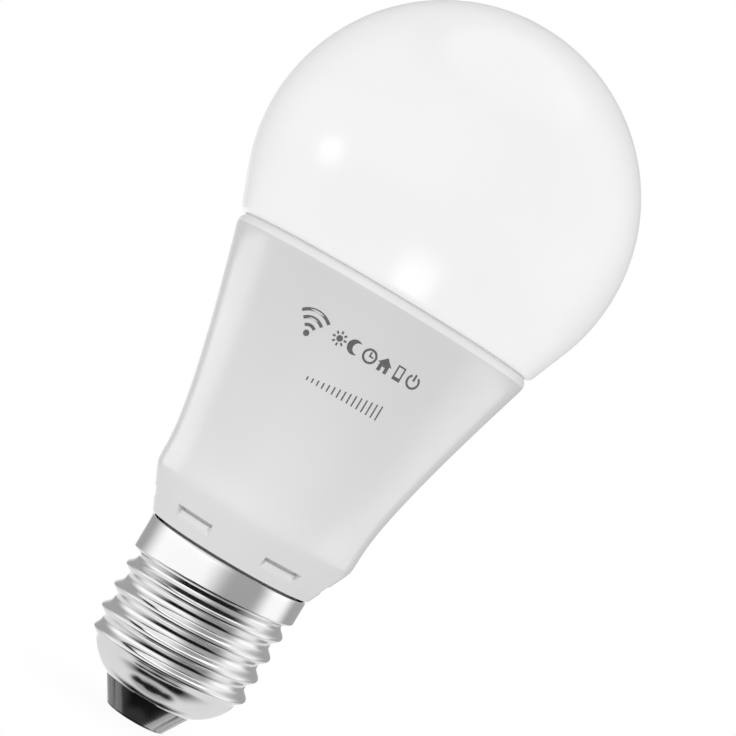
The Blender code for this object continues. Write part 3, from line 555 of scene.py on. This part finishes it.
def neck_profile():
    """The neck from the crease down, with rows close together at the notches' roofs."""
    slope = (NECK_TOP[0] - NECK_BOTTOM[0]) / (NECK_TOP[1] - NECK_BOTTOM[1])
    run_out_z = NECK_BOTTOM[1] + (NOTCH_FLOOR_RADIUS - NECK_BOTTOM[0]) / slope
    heights = [NECK_TOP[1], NOTCH_TOP_Z + 1.2 * MM, NOTCH_TOP_Z + 0.4 * MM]
    roof_rows = 6
    first_z = NOTCH_TOP_Z + 0.1 * MM
    row_gap = 1.6 * NOTCH_ROOF / roof_rows
    heights += [first_z - row_gap * i for i in range(roof_rows + 1)]
    groove_drops = (GROOVE_FULL_DROP, 0.5 * MM, GROOVE_END_DROP)
    heights += [NOTCH_TOP_Z - drop for drop in (*groove_drops, 0.9 * MM, 1.3 * MM)]
    heights += [run_out_z, run_out_z - 0.3 * MM]
    heights += [NECK_BOTTOM[1] + 0.6 * MM, NECK_BOTTOM[1]]
    return [(NECK_BOTTOM[0] + (height - NECK_BOTTOM[1]) * slope, height) for height in heights]


def notch_columns():
    """Angles round the housing, close together at the notches' side walls."""
    half = NOTCH_ANGLE / 2
    edge = NOTCH_EDGE_ANGLE
    near = [half - GROOVE_END_ANGLE, half - GROOVE_FULL_ANGLE, half - 1.2]
    near += [half - edge, half - edge / 2, half, half + edge / 2, half + 1.0]
    offsets = [0, 2.5, 5.0, 7.5, 9.5, *near, 16.0, 18.5, 21.0, 23.5, 26.5]
    degrees = []
    for i in range(NOTCH_COUNT):
        middle = 360 * (i + 0.5) / NOTCH_COUNT + 90
        degrees += [middle + offset for offset in offsets]
        degrees += [middle - offset for offset in offsets[1:]]
        degrees.append(middle + 180 / NOTCH_COUNT)
    return sorted(math.radians(angle % 360) for angle in degrees)


def notched_radius(angle, row, radius, height):
    """The neck's radius with the notches sunk into it."""
    if not NECK_BOTTOM[1] <= height <= NECK_TOP[1] or radius < NOTCH_FLOOR_RADIUS:
        return radius
    sector = 360 / NOTCH_COUNT
    from_middle = abs((math.degrees(angle) - 90) % sector - sector / 2)
    half = NOTCH_ANGLE / 2
    inside = 1 - smoothstep(from_middle, half - NOTCH_EDGE_ANGLE, half)
    inside *= 1 - smoothstep(height, NOTCH_TOP_Z - NOTCH_ROOF, NOTCH_TOP_Z)
    depth = radius - NOTCH_FLOOR_RADIUS
    by_wall = smoothstep(from_middle, half - GROOVE_END_ANGLE, half - GROOVE_FULL_ANGLE)
    by_roof = smoothstep(height, NOTCH_TOP_Z - GROOVE_END_DROP, NOTCH_TOP_Z - GROOVE_FULL_DROP)
    groove = GROOVE_DEPTH * max(GROOVE_SIDE_SHARE * by_wall, by_roof)
    groove *= smoothstep(depth, 0, GROOVE_DEPTH)
    return radius - inside * (depth + groove)


def fine_housing():
    """White body: rounded rim, flared side, notched neck, seam and spigot."""
    seat_radius = SKIRT_RADIUS + GAP
    rim_centre = (RIM_RADIUS - RIM_ROUND_WIDTH, RIM_TOP_Z - RIM_ROUND_HEIGHT)
    arc_top_deg = 66
    rim = arc(rim_centre, RIM_ROUND_WIDTH, arc_top_deg, 0, 10, RIM_ROUND_HEIGHT)
    rim.insert(0, (rim[0][0], RIM_TOP_Z))  # short step under the globe's edge
    flare = flare_profile(48)
    foot_round = 0.2 * MM
    foot = arc((NECK_BOTTOM[0] - foot_round, NECK_BOTTOM[1]), foot_round, -25, -90, 4)
    outside = [
        *rim,
        *flare,
        *neck_profile(),
        *foot,
        (SPIGOT_RADIUS, SEAM_Z),
        (SPIGOT_RADIUS, SPIGOT_BOTTOM_Z),
        (SPIGOT_BORE, SPIGOT_BOTTOM_Z),
        (SPIGOT_BORE, SEAM_Z - 2 * MM),
    ]
    wall = [
        (radius - HOUSING_WALL, height)
        for radius, height in flare_profile(16)
        if height < LEDGE_Z - 1 * MM
    ]
    ledge_radius = FLARE_TOP[0] - FLARE_TOP_SLOPE * (FLARE_TOP[1] - LEDGE_Z) - HOUSING_WALL
    seat = [(ledge_radius, LEDGE_Z), (seat_radius, LEDGE_Z), (seat_radius, RIM_TOP_Z)]
    profile = outside + wall[::-1] + seat
    mesh = revolved("housing_skin", profile, notch_columns(), radius_at=notched_radius)
    housing = add_piece("housing_skin", mesh, housing_material())
    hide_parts("housing")
    return housing


# ---------------------------------------------------------------- screw cap


def cap_base_radius(height):
    """The cap without its thread: straight down to the cup, then a flattened quarter round."""
    if height >= CUP_CENTRE[1]:
        return ROOT_RADIUS
    depth = (CUP_CENTRE[1] - height) / CUP_DEPTH
    return CUP_CENTRE[0] + CUP_HALF_WIDTH * (1 - depth**CUP_EXPONENT) ** (1 / CUP_EXPONENT)


def thread_rise(turns):
    """Height of the thread above its root. turns is 0 on the first crest, 0.5 in the groove
    above it, and beyond that the plain collar begins."""
    ridge = ((1 + math.cos(2 * math.pi * turns)) / 2) ** CREST_SHARPNESS
    rise = (CREST_RADIUS - ROOT_RADIUS) * ridge
    collar_rise = COLLAR_RADIUS - ROOT_RADIUS
    if turns > 0.5:
        rise = collar_rise * smoothstep(turns, 0.5, 0.8)
    return rise


def cap_radius(angle, height):
    """A right-hand thread that starts out of the collar at the back and fades into the cup."""
    turns = (height - FIRST_CREST_Z) / PITCH - angle / (2 * math.pi)
    start = smoothstep(angle, 0, math.pi)
    rise = (1 - start) * thread_rise(turns) + start * thread_rise(turns + 1)
    rise *= smoothstep(height, THREAD_FADE_BOTTOM_Z, THREAD_FADE_TOP_Z)
    return cap_base_radius(height) + rise


def cap_heights():
    """Rows down the cap: close together along the thread, and closer towards the lip."""
    edge = 0.12 * MM
    heights = [CAP_TOP_Z, CAP_TOP_Z - edge / 3, CAP_TOP_Z - edge, CAP_TOP_Z - 1.2 * MM]
    rows_per_turn = 26
    height = CAP_TOP_Z - 2.4 * MM
    while height > THREAD_FADE_BOTTOM_Z:
        heights.append(height)
        height -= PITCH / rows_per_turn
    cup_rows = 26
    for i in range(1, cup_rows + 1):
        drop = math.sin(math.pi / 2 * i / cup_rows)
        heights.append(THREAD_FADE_BOTTOM_Z + (LIP_Z - THREAD_FADE_BOTTOM_Z) * drop)
    return heights


def fine_cap_shell():
    """Nickel-plated shell with the rolled thread, open at both ends, with softened edges."""
    heights = cap_heights()
    profile = [(cap_base_radius(height), height) for height in heights]
    profile += [(cap_base_radius(height) - CAP_WALL, height) for height in heights[::-1]]
    top_rounding = {0: 0.12 * MM, 1: 0.04 * MM}  # by row, from the top edge

    def radius_at(angle, row, radius, height):
        direction = angle if angle <= math.pi else angle - 2 * math.pi
        outer = cap_radius(direction, height)
        if row < len(heights):
            return outer - top_rounding.get(row, 0)
        return outer - CAP_WALL

    mesh = revolved("cap_skin", profile, even_angles(216), radius_at=radius_at)
    cap = add_piece("cap_skin", mesh, nickel_material())
    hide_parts("cap_shell")


def fine_insulator():
    """Black glass cone with softened edges. Its waist is in the cap's lip, its flange inside the
    cup, and the contact plate lies in its recess."""
    bore = 1.75 * MM
    flange_radius = 9.3 * MM
    flange_top_z = 7.45 * MM
    flange_thickness = 0.8 * MM
    foot_round = 0.25 * MM
    recess_radius = CONTACT_RADIUS + GAP
    recess_top_z = BOSS_HEIGHT + CONTACT_THICKNESS + GAP
    foot_centre = (INSULATOR_BOTTOM_RADIUS - foot_round, INSULATOR_BOTTOM_Z + foot_round)
    profile = [
        (flange_radius, flange_top_z),
        (flange_radius, flange_top_z - flange_thickness),
        (INSULATOR_WAIST_RADIUS, LIP_Z + 0.65 * MM),
        (INSULATOR_WAIST_RADIUS, LIP_Z - 0.06 * MM),
        (INSULATOR_TOP_RADIUS, LIP_Z - 0.06 * MM),
        (INSULATOR_TOP_RADIUS - 0.03 * MM, LIP_Z - 0.16 * MM),
        (INSULATOR_BOTTOM_RADIUS + 0.04 * MM, foot_centre[1] + 0.06 * MM),
        *arc(foot_centre, foot_round, 0, -90, 5),
        (recess_radius, INSULATOR_BOTTOM_Z),
        (recess_radius, recess_top_z),
        (bore, recess_top_z),
        (bore, flange_top_z),
    ]
    mesh = revolved("insulator_glass", profile, even_angles(128))
    glass = add_piece("insulator_glass", mesh, black_glass_material())
    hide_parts("cap_insulator")
    return glass


def fine_contact():
    """Contact plate with a raised boss, both softened at the edge, and the pin above it."""
    pin_radius = 1.4 * MM
    pin_top_z = 6.85 * MM
    edge = 0.12 * MM
    plate_top_z = BOSS_HEIGHT + CONTACT_THICKNESS
    profile = [
        (0, pin_top_z),
        (pin_radius, pin_top_z),
        (pin_radius, plate_top_z),
        *arc((CONTACT_RADIUS - edge, plate_top_z - edge), edge, 90, 0, 4),
        *arc((CONTACT_RADIUS - edge, BOSS_HEIGHT + edge), edge, 0, -90, 4),
        (BOSS_RADIUS + edge, BOSS_HEIGHT),
        *arc((BOSS_RADIUS - edge, edge), edge, 0, -90, 4),
        (0, 0),
    ]
    mesh = revolved("contact_plate", profile, even_angles(128), closed=False)
    material = metal("contact_metal", (0.75, 0.74, 0.7), 0.22, (1, 1, 1), 1200)
    contact = add_piece("contact_plate", mesh, material)
    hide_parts("centre_contact")


# ---------------------------------------------------------------- print on the housing


def circle(centre, radius, steps=28):
    return [
        (
            centre[0] + radius * math.cos(2 * math.pi * i / steps),
            centre[1] + radius * math.sin(2 * math.pi * i / steps),
        )
        for i in range(steps)
    ]


def ring(centre, radius, width):
    return [circle(centre, radius), circle(centre, radius - width)]


def sector_band(centre, radius, width, start_deg, end_deg, steps=18):
    """Part of a ring, as one outline."""
    outline = []
    for i in range(steps + 1):
        angle = math.radians(start_deg + (end_deg - start_deg) * i / steps)
        outline.append((centre[0] + radius * math.cos(angle), centre[1] + radius * math.sin(angle)))
    for i in range(steps, -1, -1):
        angle = math.radians(start_deg + (end_deg - start_deg) * i / steps)
        r = radius - width
        outline.append((centre[0] + r * math.cos(angle), centre[1] + r * math.sin(angle)))
    return outline


def bar(start, end, width):
    """A straight stroke, cut square at both ends, with points along its length."""
    start = Vector(start)
    end = Vector(end)
    along = end - start
    side = Vector((-along.y, along.x)).normalized() * width / 2
    steps = max(1, round(along.length / 0.4))
    points = [start + along * i / steps for i in range(steps + 1)]
    return [tuple(p + side) for p in points] + [tuple(p - side) for p in reversed(points)]


def sun(x, y, size):
    """Dot with eight rays."""
    loops = [circle((x, y), size * 0.42)]
    for i in range(8):
        ray = Vector((math.cos(math.pi * i / 4), math.sin(math.pi * i / 4)))
        middle = Vector((x, y))
        loops.append(bar(middle + ray * size * 0.62, middle + ray * size, size * 0.24))
    return loops


def moon(x, y, size):
    """Crescent, between a circle and a smaller one that cuts into it."""
    tip = math.radians(50)
    shift = size * 0.55
    steps = 20
    outline = []
    for i in range(steps + 1):
        angle = tip + (2 * math.pi - 2 * tip) * i / steps
        outline.append((x + size * math.cos(angle), y + size * math.sin(angle)))
    tip_x = size * math.cos(tip) - shift
    tip_y = size * math.sin(tip)
    inner = math.hypot(tip_x, tip_y)
    sweep = math.atan2(tip_y, tip_x)
    for i in range(steps - 1, 0, -1):
        angle = sweep + (2 * math.pi - 2 * sweep) * i / steps
        outline.append((x + shift + inner * math.cos(angle), y + inner * math.sin(angle)))
    return [outline]


def clock(x, y, size):
    """Ring with two hands at three o'clock."""
    half = 0.11
    hands = [
        (x - half, y + size * 0.6),
        (x + half, y + size * 0.6),
        (x + half, y + half),
        (x + size * 0.5, y + half),
        (x + size * 0.5, y - half),
        (x - half, y - half),
    ]
    return [*ring((x, y), size, size * 0.28), hands]


def house(x, y, size):
    """Gabled house with an open doorway."""
    door = size * 0.24
    return [
        [
            (x, y + size),
            (x - size, y + size * 0.05),
            (x - size * 0.7, y + size * 0.05),
            (x - size * 0.7, y - size),
            (x - door, y - size),
            (x - door, y - size * 0.3),
            (x + door, y - size * 0.3),
            (x + door, y - size),
            (x + size * 0.7, y - size),
            (x + size * 0.7, y + size * 0.05),
            (x + size, y + size * 0.05),
        ]
    ]


def phone(x, y, size):
    """Upright hand-held screen with a thin frame."""
    half = size * 0.58
    frame_width = size * 0.2
    foot = size * 0.45
    outside = [
        (x - half, y - size),
        (x + half, y - size),
        (x + half, y + size),
        (x - half, y + size),
    ]
    inside = [
        (x - half + frame_width, y - size + foot),
        (x + half - frame_width, y - size + foot),
        (x + half - frame_width, y + size - frame_width),
        (x - half + frame_width, y + size - frame_width),
    ]
    return [outside, inside]


def power(x, y, size):
    """Open ring with a stroke through its gap."""
    return [
        sector_band((x, y), size, size * 0.28, 125, 415),
        bar((x, y + size * 1.05), (x, y + size * 0.1), size * 0.28),
    ]


def radio_waves(x, y, size):
    """Three arcs over a dot."""
    foot = (x, y - size * 0.78)
    loops = [circle(foot, size * 0.2)]
    for reach in (0.62, 1.1, 1.58):
        loops.append(sector_band(foot, size * reach, size * 0.2, 48, 132))
    return loops


def dimmer_scale(x0, x1, y, height):
    """Row of thin upright strokes that grow from left to right."""
    count = 15
    stroke = 0.2
    lowest = 0.25
    foot = y - height / 2
    loops = []
    for i in range(count):
        along = i / (count - 1)
        x = x0 + (x1 - x0) * along
        top = foot + height * (lowest + (1 - lowest) * along)
        loops.append(bar((x, foot), (x, top), stroke))
    return loops


def flare_radius(height, profile):
    """The flare's radius at a height, between the points of its profile."""
    for upper, lower in zip(profile, profile[1:]):
        if upper[1] >= height >= lower[1]:
            share = (height - lower[1]) / (upper[1] - lower[1])
            return lower[0] + (upper[0] - lower[0]) * share
    return profile[0][0]


def print_piece(name, loops, material):
    """Flat outlines in mm, across and up, wrapped on the housing's front as thin solids."""
    proud = 0.03 * MM
    sunk = 0.02 * MM
    curve = bpy.data.curves.new(name, "CURVE")
    curve.dimensions = "2D"
    curve.fill_mode = "BOTH"
    curve.extrude = 1.0  # so that the outer skin has its points above zero
    for loop in loops:
        spline = curve.splines.new("POLY")
        spline.points.add(len(loop) - 1)
        for point, (u, v) in zip(spline.points, loop):
            point.co = (u, v, 0, 1)
        spline.use_cyclic_u = True
    flat = bpy.data.objects.new(name, curve)
    bpy.context.scene.collection.objects.link(flat)
    evaluated = flat.evaluated_get(bpy.context.evaluated_depsgraph_get())
    mesh = bpy.data.meshes.new_from_object(evaluated)
    bpy.data.objects.remove(flat)
    bpy.data.curves.remove(curve)
    bm = bmesh.new()
    bm.from_mesh(mesh)
    bmesh.ops.remove_doubles(bm, verts=bm.verts, dist=0.001)
    profile = flare_profile(96)
    for vertex in bm.verts:
        height = vertex.co.y * MM
        offset = proud if vertex.co.z > 0 else -sunk
        radius = flare_radius(height, profile)
        angle = vertex.co.x * MM / radius
        radius += offset
        vertex.co = (radius * math.sin(angle), -radius * math.cos(angle), height)
    bmesh.ops.recalc_face_normals(bm, faces=bm.faces)
    bm.to_mesh(mesh)
    bm.free()
    return add_piece(name, mesh, material)


def housing_print():
    """Generic print: a radio symbol, a row of bold symbols, and a thin dimmer scale."""
    ink = ink_material()
    radio = radio_waves(RADIO_SYMBOL_X, PRINT_UPPER_Z + 0.1, RADIO_SYMBOL_SIZE)
    print_piece("print_radio_symbol", radio, ink)
    symbols = (sun, moon, clock, house, phone, power)
    first_x, last_x = SYMBOL_ROW
    loops = []
    for i, symbol in enumerate(symbols):
        x = first_x + (last_x - first_x) * i / (len(symbols) - 1)
        loops += symbol(x, PRINT_UPPER_Z, SYMBOL_SIZE)
    print_piece("print_symbol_row", loops, ink)
    scale = dimmer_scale(*DIMMER_SCALE, PRINT_LOWER_Z, DIMMER_HEIGHT)
    print_piece("print_dimmer_scale", scale, ink)


# ---------------------------------------------------------------- studio

FILL_LIGHT = 1.0  # what the matte part of every surface is lit by
STUDIO_BASE = 0.05  # reflected where no panel is
# What glossy surfaces show, as seen from the bulb and in degrees: azimuth from the front (-Y)
# towards +X, half the width, softness across; elevation, half the height, softness upwards; and
# how much light it adds, or takes away where it is a flag. 181 goes all the way round
STUDIO_PANELS = (
    # walls above and below, and the ceiling
    (0, 181, 1, 40, 52, 8, 0.34),
    (0, 181, 1, -51, 39, 8, 0.72),
    (0, 181, 1, 90, 29, 8, 0.8),
    # softboxes: left, right, and each one's dimmer upper part; the bright wall behind
    (-56, 56, 44, 2, 12, 6, 0.72),
    (92, 23, 28, 1, 13, 14, 0.7),
    (-52, 58, 36, 39, 27, 8, 0.45),
    (100, 30, 40, 44, 32, 18, 0.56),
    (186, 14, 12, -7, 10, 30, 0.8),
    # black flags: below in front, above in front, below behind; a grey one straight down
    (5, 68, 80, -39, 26, 12, -0.95),
    (-38, 82, 36, 54, 6, 6, -0.85),
    (180, 24, 20, -54, 10, 10, -0.78),
    (0, 181, 1, -82, 12, 10, -0.36),
    # black strip straight down, which reaches out to both sides
    (0, 181, 1, -90, 7, 5, -0.7),
    (0, 85, 30, -83, 5, 6, -0.5),
    (-88, 26, 20, -78, 7, 8, -0.6),
    (88, 26, 20, -78, 7, 8, -0.6),
)
# Lamps that show in the gloss of one piece only, as seen from its middle and in degrees:
# azimuth, elevation, width, height; and brightness
LAMP_DISTANCE = 150 * MM
NECK_LIGHT_PLACE = Vector((-40, -200, 160)) * MM
NECK_LIGHT_TARGET = Vector((0, -17, 37)) * MM
NECK_LIGHT_POWER = 0.9
NECK_LIGHT_SPREAD = math.radians(11)
FLOOR_HALF_WIDTH = 1.5
# Painted contact shadow on the floor: its brightness close to the contact, and the radii it fades
# over
FLOOR_PAINTED_SHADOW = 0.97  # brightness close to the contact
FLOOR_PAINTED_SHADOW_RADIUS = (3 * MM, 25 * MM)
GLOBE_LAMPS = (
    (-67, -9, 15, 12, 3.6),
    (10.5, -39, 23, 6, 6.5),
)
HOUSING_LAMPS = (
    (-104, -9, 16, 15, 1.2),
    (-124, -9, 24, 15, 1.1),
    (104, -9, 65, 15, 0.8),
)
GLASS_LAMPS = (
    (-98, -54, 20, 40, 1.5),
    (-126, -40, 17, 40, 0.7),
    (-148, -26, 20, 40, 0.3),
    (98, -54, 20, 40, 4.2),
    (126, -40, 17, 40, 2.0),
    (148, -26, 20, 40, 0.8),
)


def panel_mask(tree, azimuth, elevation, panel):
    """1 inside a panel and 0 outside, with soft edges."""
    centre, half_width, side_softness, height, half_height, top_softness = panel
    turned = math_node(tree, "SUBTRACT", azimuth, centre)
    wrapped = tree.nodes.new("ShaderNodeMath")
    wrapped.operation = "WRAP"
    tree.links.new(turned, wrapped.inputs[0])
    wrapped.inputs[1].default_value = 180
    wrapped.inputs[2].default_value = -180
    across = math_node(tree, "ABSOLUTE", wrapped.outputs[0])
    up = math_node(tree, "ABSOLUTE", math_node(tree, "SUBTRACT", elevation, height))
    side = side_softness / 2
    top = top_softness / 2
    wide = map_range(tree, across, half_width - side, half_width + side, 1, 0, True)
    tall = map_range(tree, up, half_height - top, half_height + top, 1, 0, True)
    return math_node(tree, "MULTIPLY", wide, tall)


def background(tree, strength=1.0):
    node = tree.nodes.new("ShaderNodeBackground")
    node.inputs["Color"].default_value = (1, 1, 1, 1)
    node.inputs["Strength"].default_value = strength
    return node


def studio_world():
    """Light panels round the bulb for glossy surfaces, as a function of direction only, an even
    fill for matte ones, and a plain white backdrop for the camera."""
    world = bpy.data.worlds.new("studio")
    bpy.context.scene.world = world
    world.use_nodes = True
    tree = world.node_tree
    tree.nodes.clear()
    direction = tree.nodes.new("ShaderNodeTexCoord")
    split = tree.nodes.new("ShaderNodeSeparateXYZ")
    tree.links.new(direction.outputs["Generated"], split.inputs["Vector"])
    front = math_node(tree, "MULTIPLY", split.outputs["Y"], -1.0)
    azimuth = math_node(tree, "ARCTAN2", split.outputs["X"], front)
    azimuth = math_node(tree, "DEGREES", azimuth)
    elevation = math_node(tree, "DEGREES", math_node(tree, "ARCSINE", split.outputs["Z"]))
    light = None
    for *panel, strength in STUDIO_PANELS:
        mask = panel_mask(tree, azimuth, elevation, panel)
        share = math_node(tree, "MULTIPLY", mask, strength)
        light = math_node(tree, "ADD", share, light if light else STUDIO_BASE)
    studio = background(tree)
    tree.links.new(math_node(tree, "MAXIMUM", light, 0.0), studio.inputs["Strength"])
    fill = background(tree, FILL_LIGHT)
    backdrop = background(tree)
    ray = tree.nodes.new("ShaderNodeLightPath").outputs
    by_gloss = mix_shaders(tree, ray["Is Glossy Ray"], fill.outputs[0], studio.outputs[0])
    by_camera = mix_shaders(tree, ray["Is Camera Ray"], by_gloss, backdrop.outputs[0])
    output = tree.nodes.new("ShaderNodeOutputWorld")
    tree.links.new(by_camera, output.inputs["Surface"])


def floor_material():
    """Near-white floor with a painted contact shadow: it darkens a little close to the contact."""
    material, tree, shader = new_material("floor")
    tree.nodes.remove(shader)
    glow = tree.nodes.new("ShaderNodeEmission")
    distance = tree.nodes.new("ShaderNodeVectorMath")
    distance.operation = "LENGTH"
    tree.links.new(place(tree), distance.inputs[0])
    near, far = FLOOR_PAINTED_SHADOW_RADIUS
    # painted contact shadow: the floor's glow dims close to the contact
    strength = map_range(tree, distance.outputs["Value"], near, far, FLOOR_PAINTED_SHADOW, 1.0, True)
    tree.links.new(strength, glow.inputs["Strength"])
    tree.links.new(glow.outputs[0], tree.nodes["Material Output"].inputs["Surface"])
    return material


def studio_floor():
    half = FLOOR_HALF_WIDTH
    mesh = bpy.data.meshes.new("floor")
    corners = [(-half, -half, 0), (half, -half, 0), (half, half, 0), (-half, half, 0)]
    mesh.from_pydata(corners, [], [(0, 1, 2, 3)])
    mesh.materials.append(floor_material())
    floor = bpy.data.objects.new("floor", mesh)
    floor.location.z = -0.02 * MM
    floor.visible_diffuse = False
    floor.visible_glossy = False
    floor.visible_shadow = False
    bpy.context.scene.collection.objects.link(floor)


def add_light(name, data, location, target):
    """A light that glossy or matte surfaces may show, but not the camera."""
    light = bpy.data.objects.new(name, data)
    light.location = location
    light.rotation_euler = (target - location).to_track_quat("-Z", "Y").to_euler()
    light.visible_camera = False
    bpy.context.scene.collection.objects.link(light)
    return light


def neck_light():
    """Soft pool of light on the lower end of the flare, from the front and above."""
    data = bpy.data.lights.new("neck_light", "SPOT")
    data.energy = NECK_LIGHT_POWER
    data.spot_size = NECK_LIGHT_SPREAD
    data.spot_blend = 1.0
    data.shadow_soft_size = 20 * MM
    light = add_light("neck_light", data, NECK_LIGHT_PLACE, NECK_LIGHT_TARGET)
    light.visible_glossy = False


def gloss_lamps(lamps, piece, middle_z, shape="RECTANGLE"):
    """Lamps that show in the gloss of one piece only."""
    receivers = bpy.data.collections.new("lamps_of_" + piece.name)
    receivers.objects.link(piece)
    middle = Vector((0, 0, middle_z))
    for azimuth, elevation, width, height, brightness in lamps:
        data = bpy.data.lights.new("lamp", "AREA")
        data.shape = shape
        data.size = LAMP_DISTANCE * math.radians(width)
        data.size_y = LAMP_DISTANCE * math.radians(height)
        data.energy = 4 * brightness * data.size * data.size_y  # its radiance is the brightness
        flat = math.cos(math.radians(elevation))
        direction = Vector((
            math.sin(math.radians(azimuth)) * flat,
            -math.cos(math.radians(azimuth)) * flat,
            math.sin(math.radians(elevation)),
        ))
        light = add_light("lamp", data, middle + direction * LAMP_DISTANCE, middle)
        light.visible_diffuse = False
        light.light_linking.receiver_collection = receivers


def studio_camera():
    data = bpy.data.cameras.new("camera")
    camera = bpy.data.objects.new("camera", data)
    bpy.context.scene.collection.objects.link(camera)
    bpy.context.scene.camera = camera
    location = Vector((0, -CAMERA_DISTANCE, CAMERA_HEIGHT))
    forward = (CAMERA_TARGET - location).normalized()
    level = forward.cross(Vector((0, 0, 1))).normalized()
    above = level.cross(forward)
    right = math.cos(CAMERA_ROLL) * level + math.sin(CAMERA_ROLL) * above
    up = math.cos(CAMERA_ROLL) * above - math.sin(CAMERA_ROLL) * level
    turn = Matrix((right, up, -forward)).transposed().to_4x4()
    camera.matrix_world = Matrix.Translation(location) @ turn
    data.sensor_width = SENSOR_WIDTH
    data.lens = SENSOR_WIDTH * CAMERA_DISTANCE / VIEW_WIDTH
    data.clip_start = 0.01


# ---------------------------------------------------------------- building the picture

bpy.context.scene.view_settings.view_transform = "Standard"
studio_camera()
studio_world()
studio_floor()
neck_light()
gloss_lamps(GLOBE_LAMPS, fine_globe(), GLOBE_CENTRE_Z, "ELLIPSE")
gloss_lamps(HOUSING_LAMPS, fine_housing(), (RIM_TOP_Z + SEAM_Z) / 2)
fine_cap_shell()
gloss_lamps(GLASS_LAMPS, fine_insulator(), INSULATOR_BOTTOM_Z)
fine_contact()
housing_print()
dress_inner_nodes(("diffuser_globe", "housing", "cap_shell", "cap_insulator", "centre_contact"))
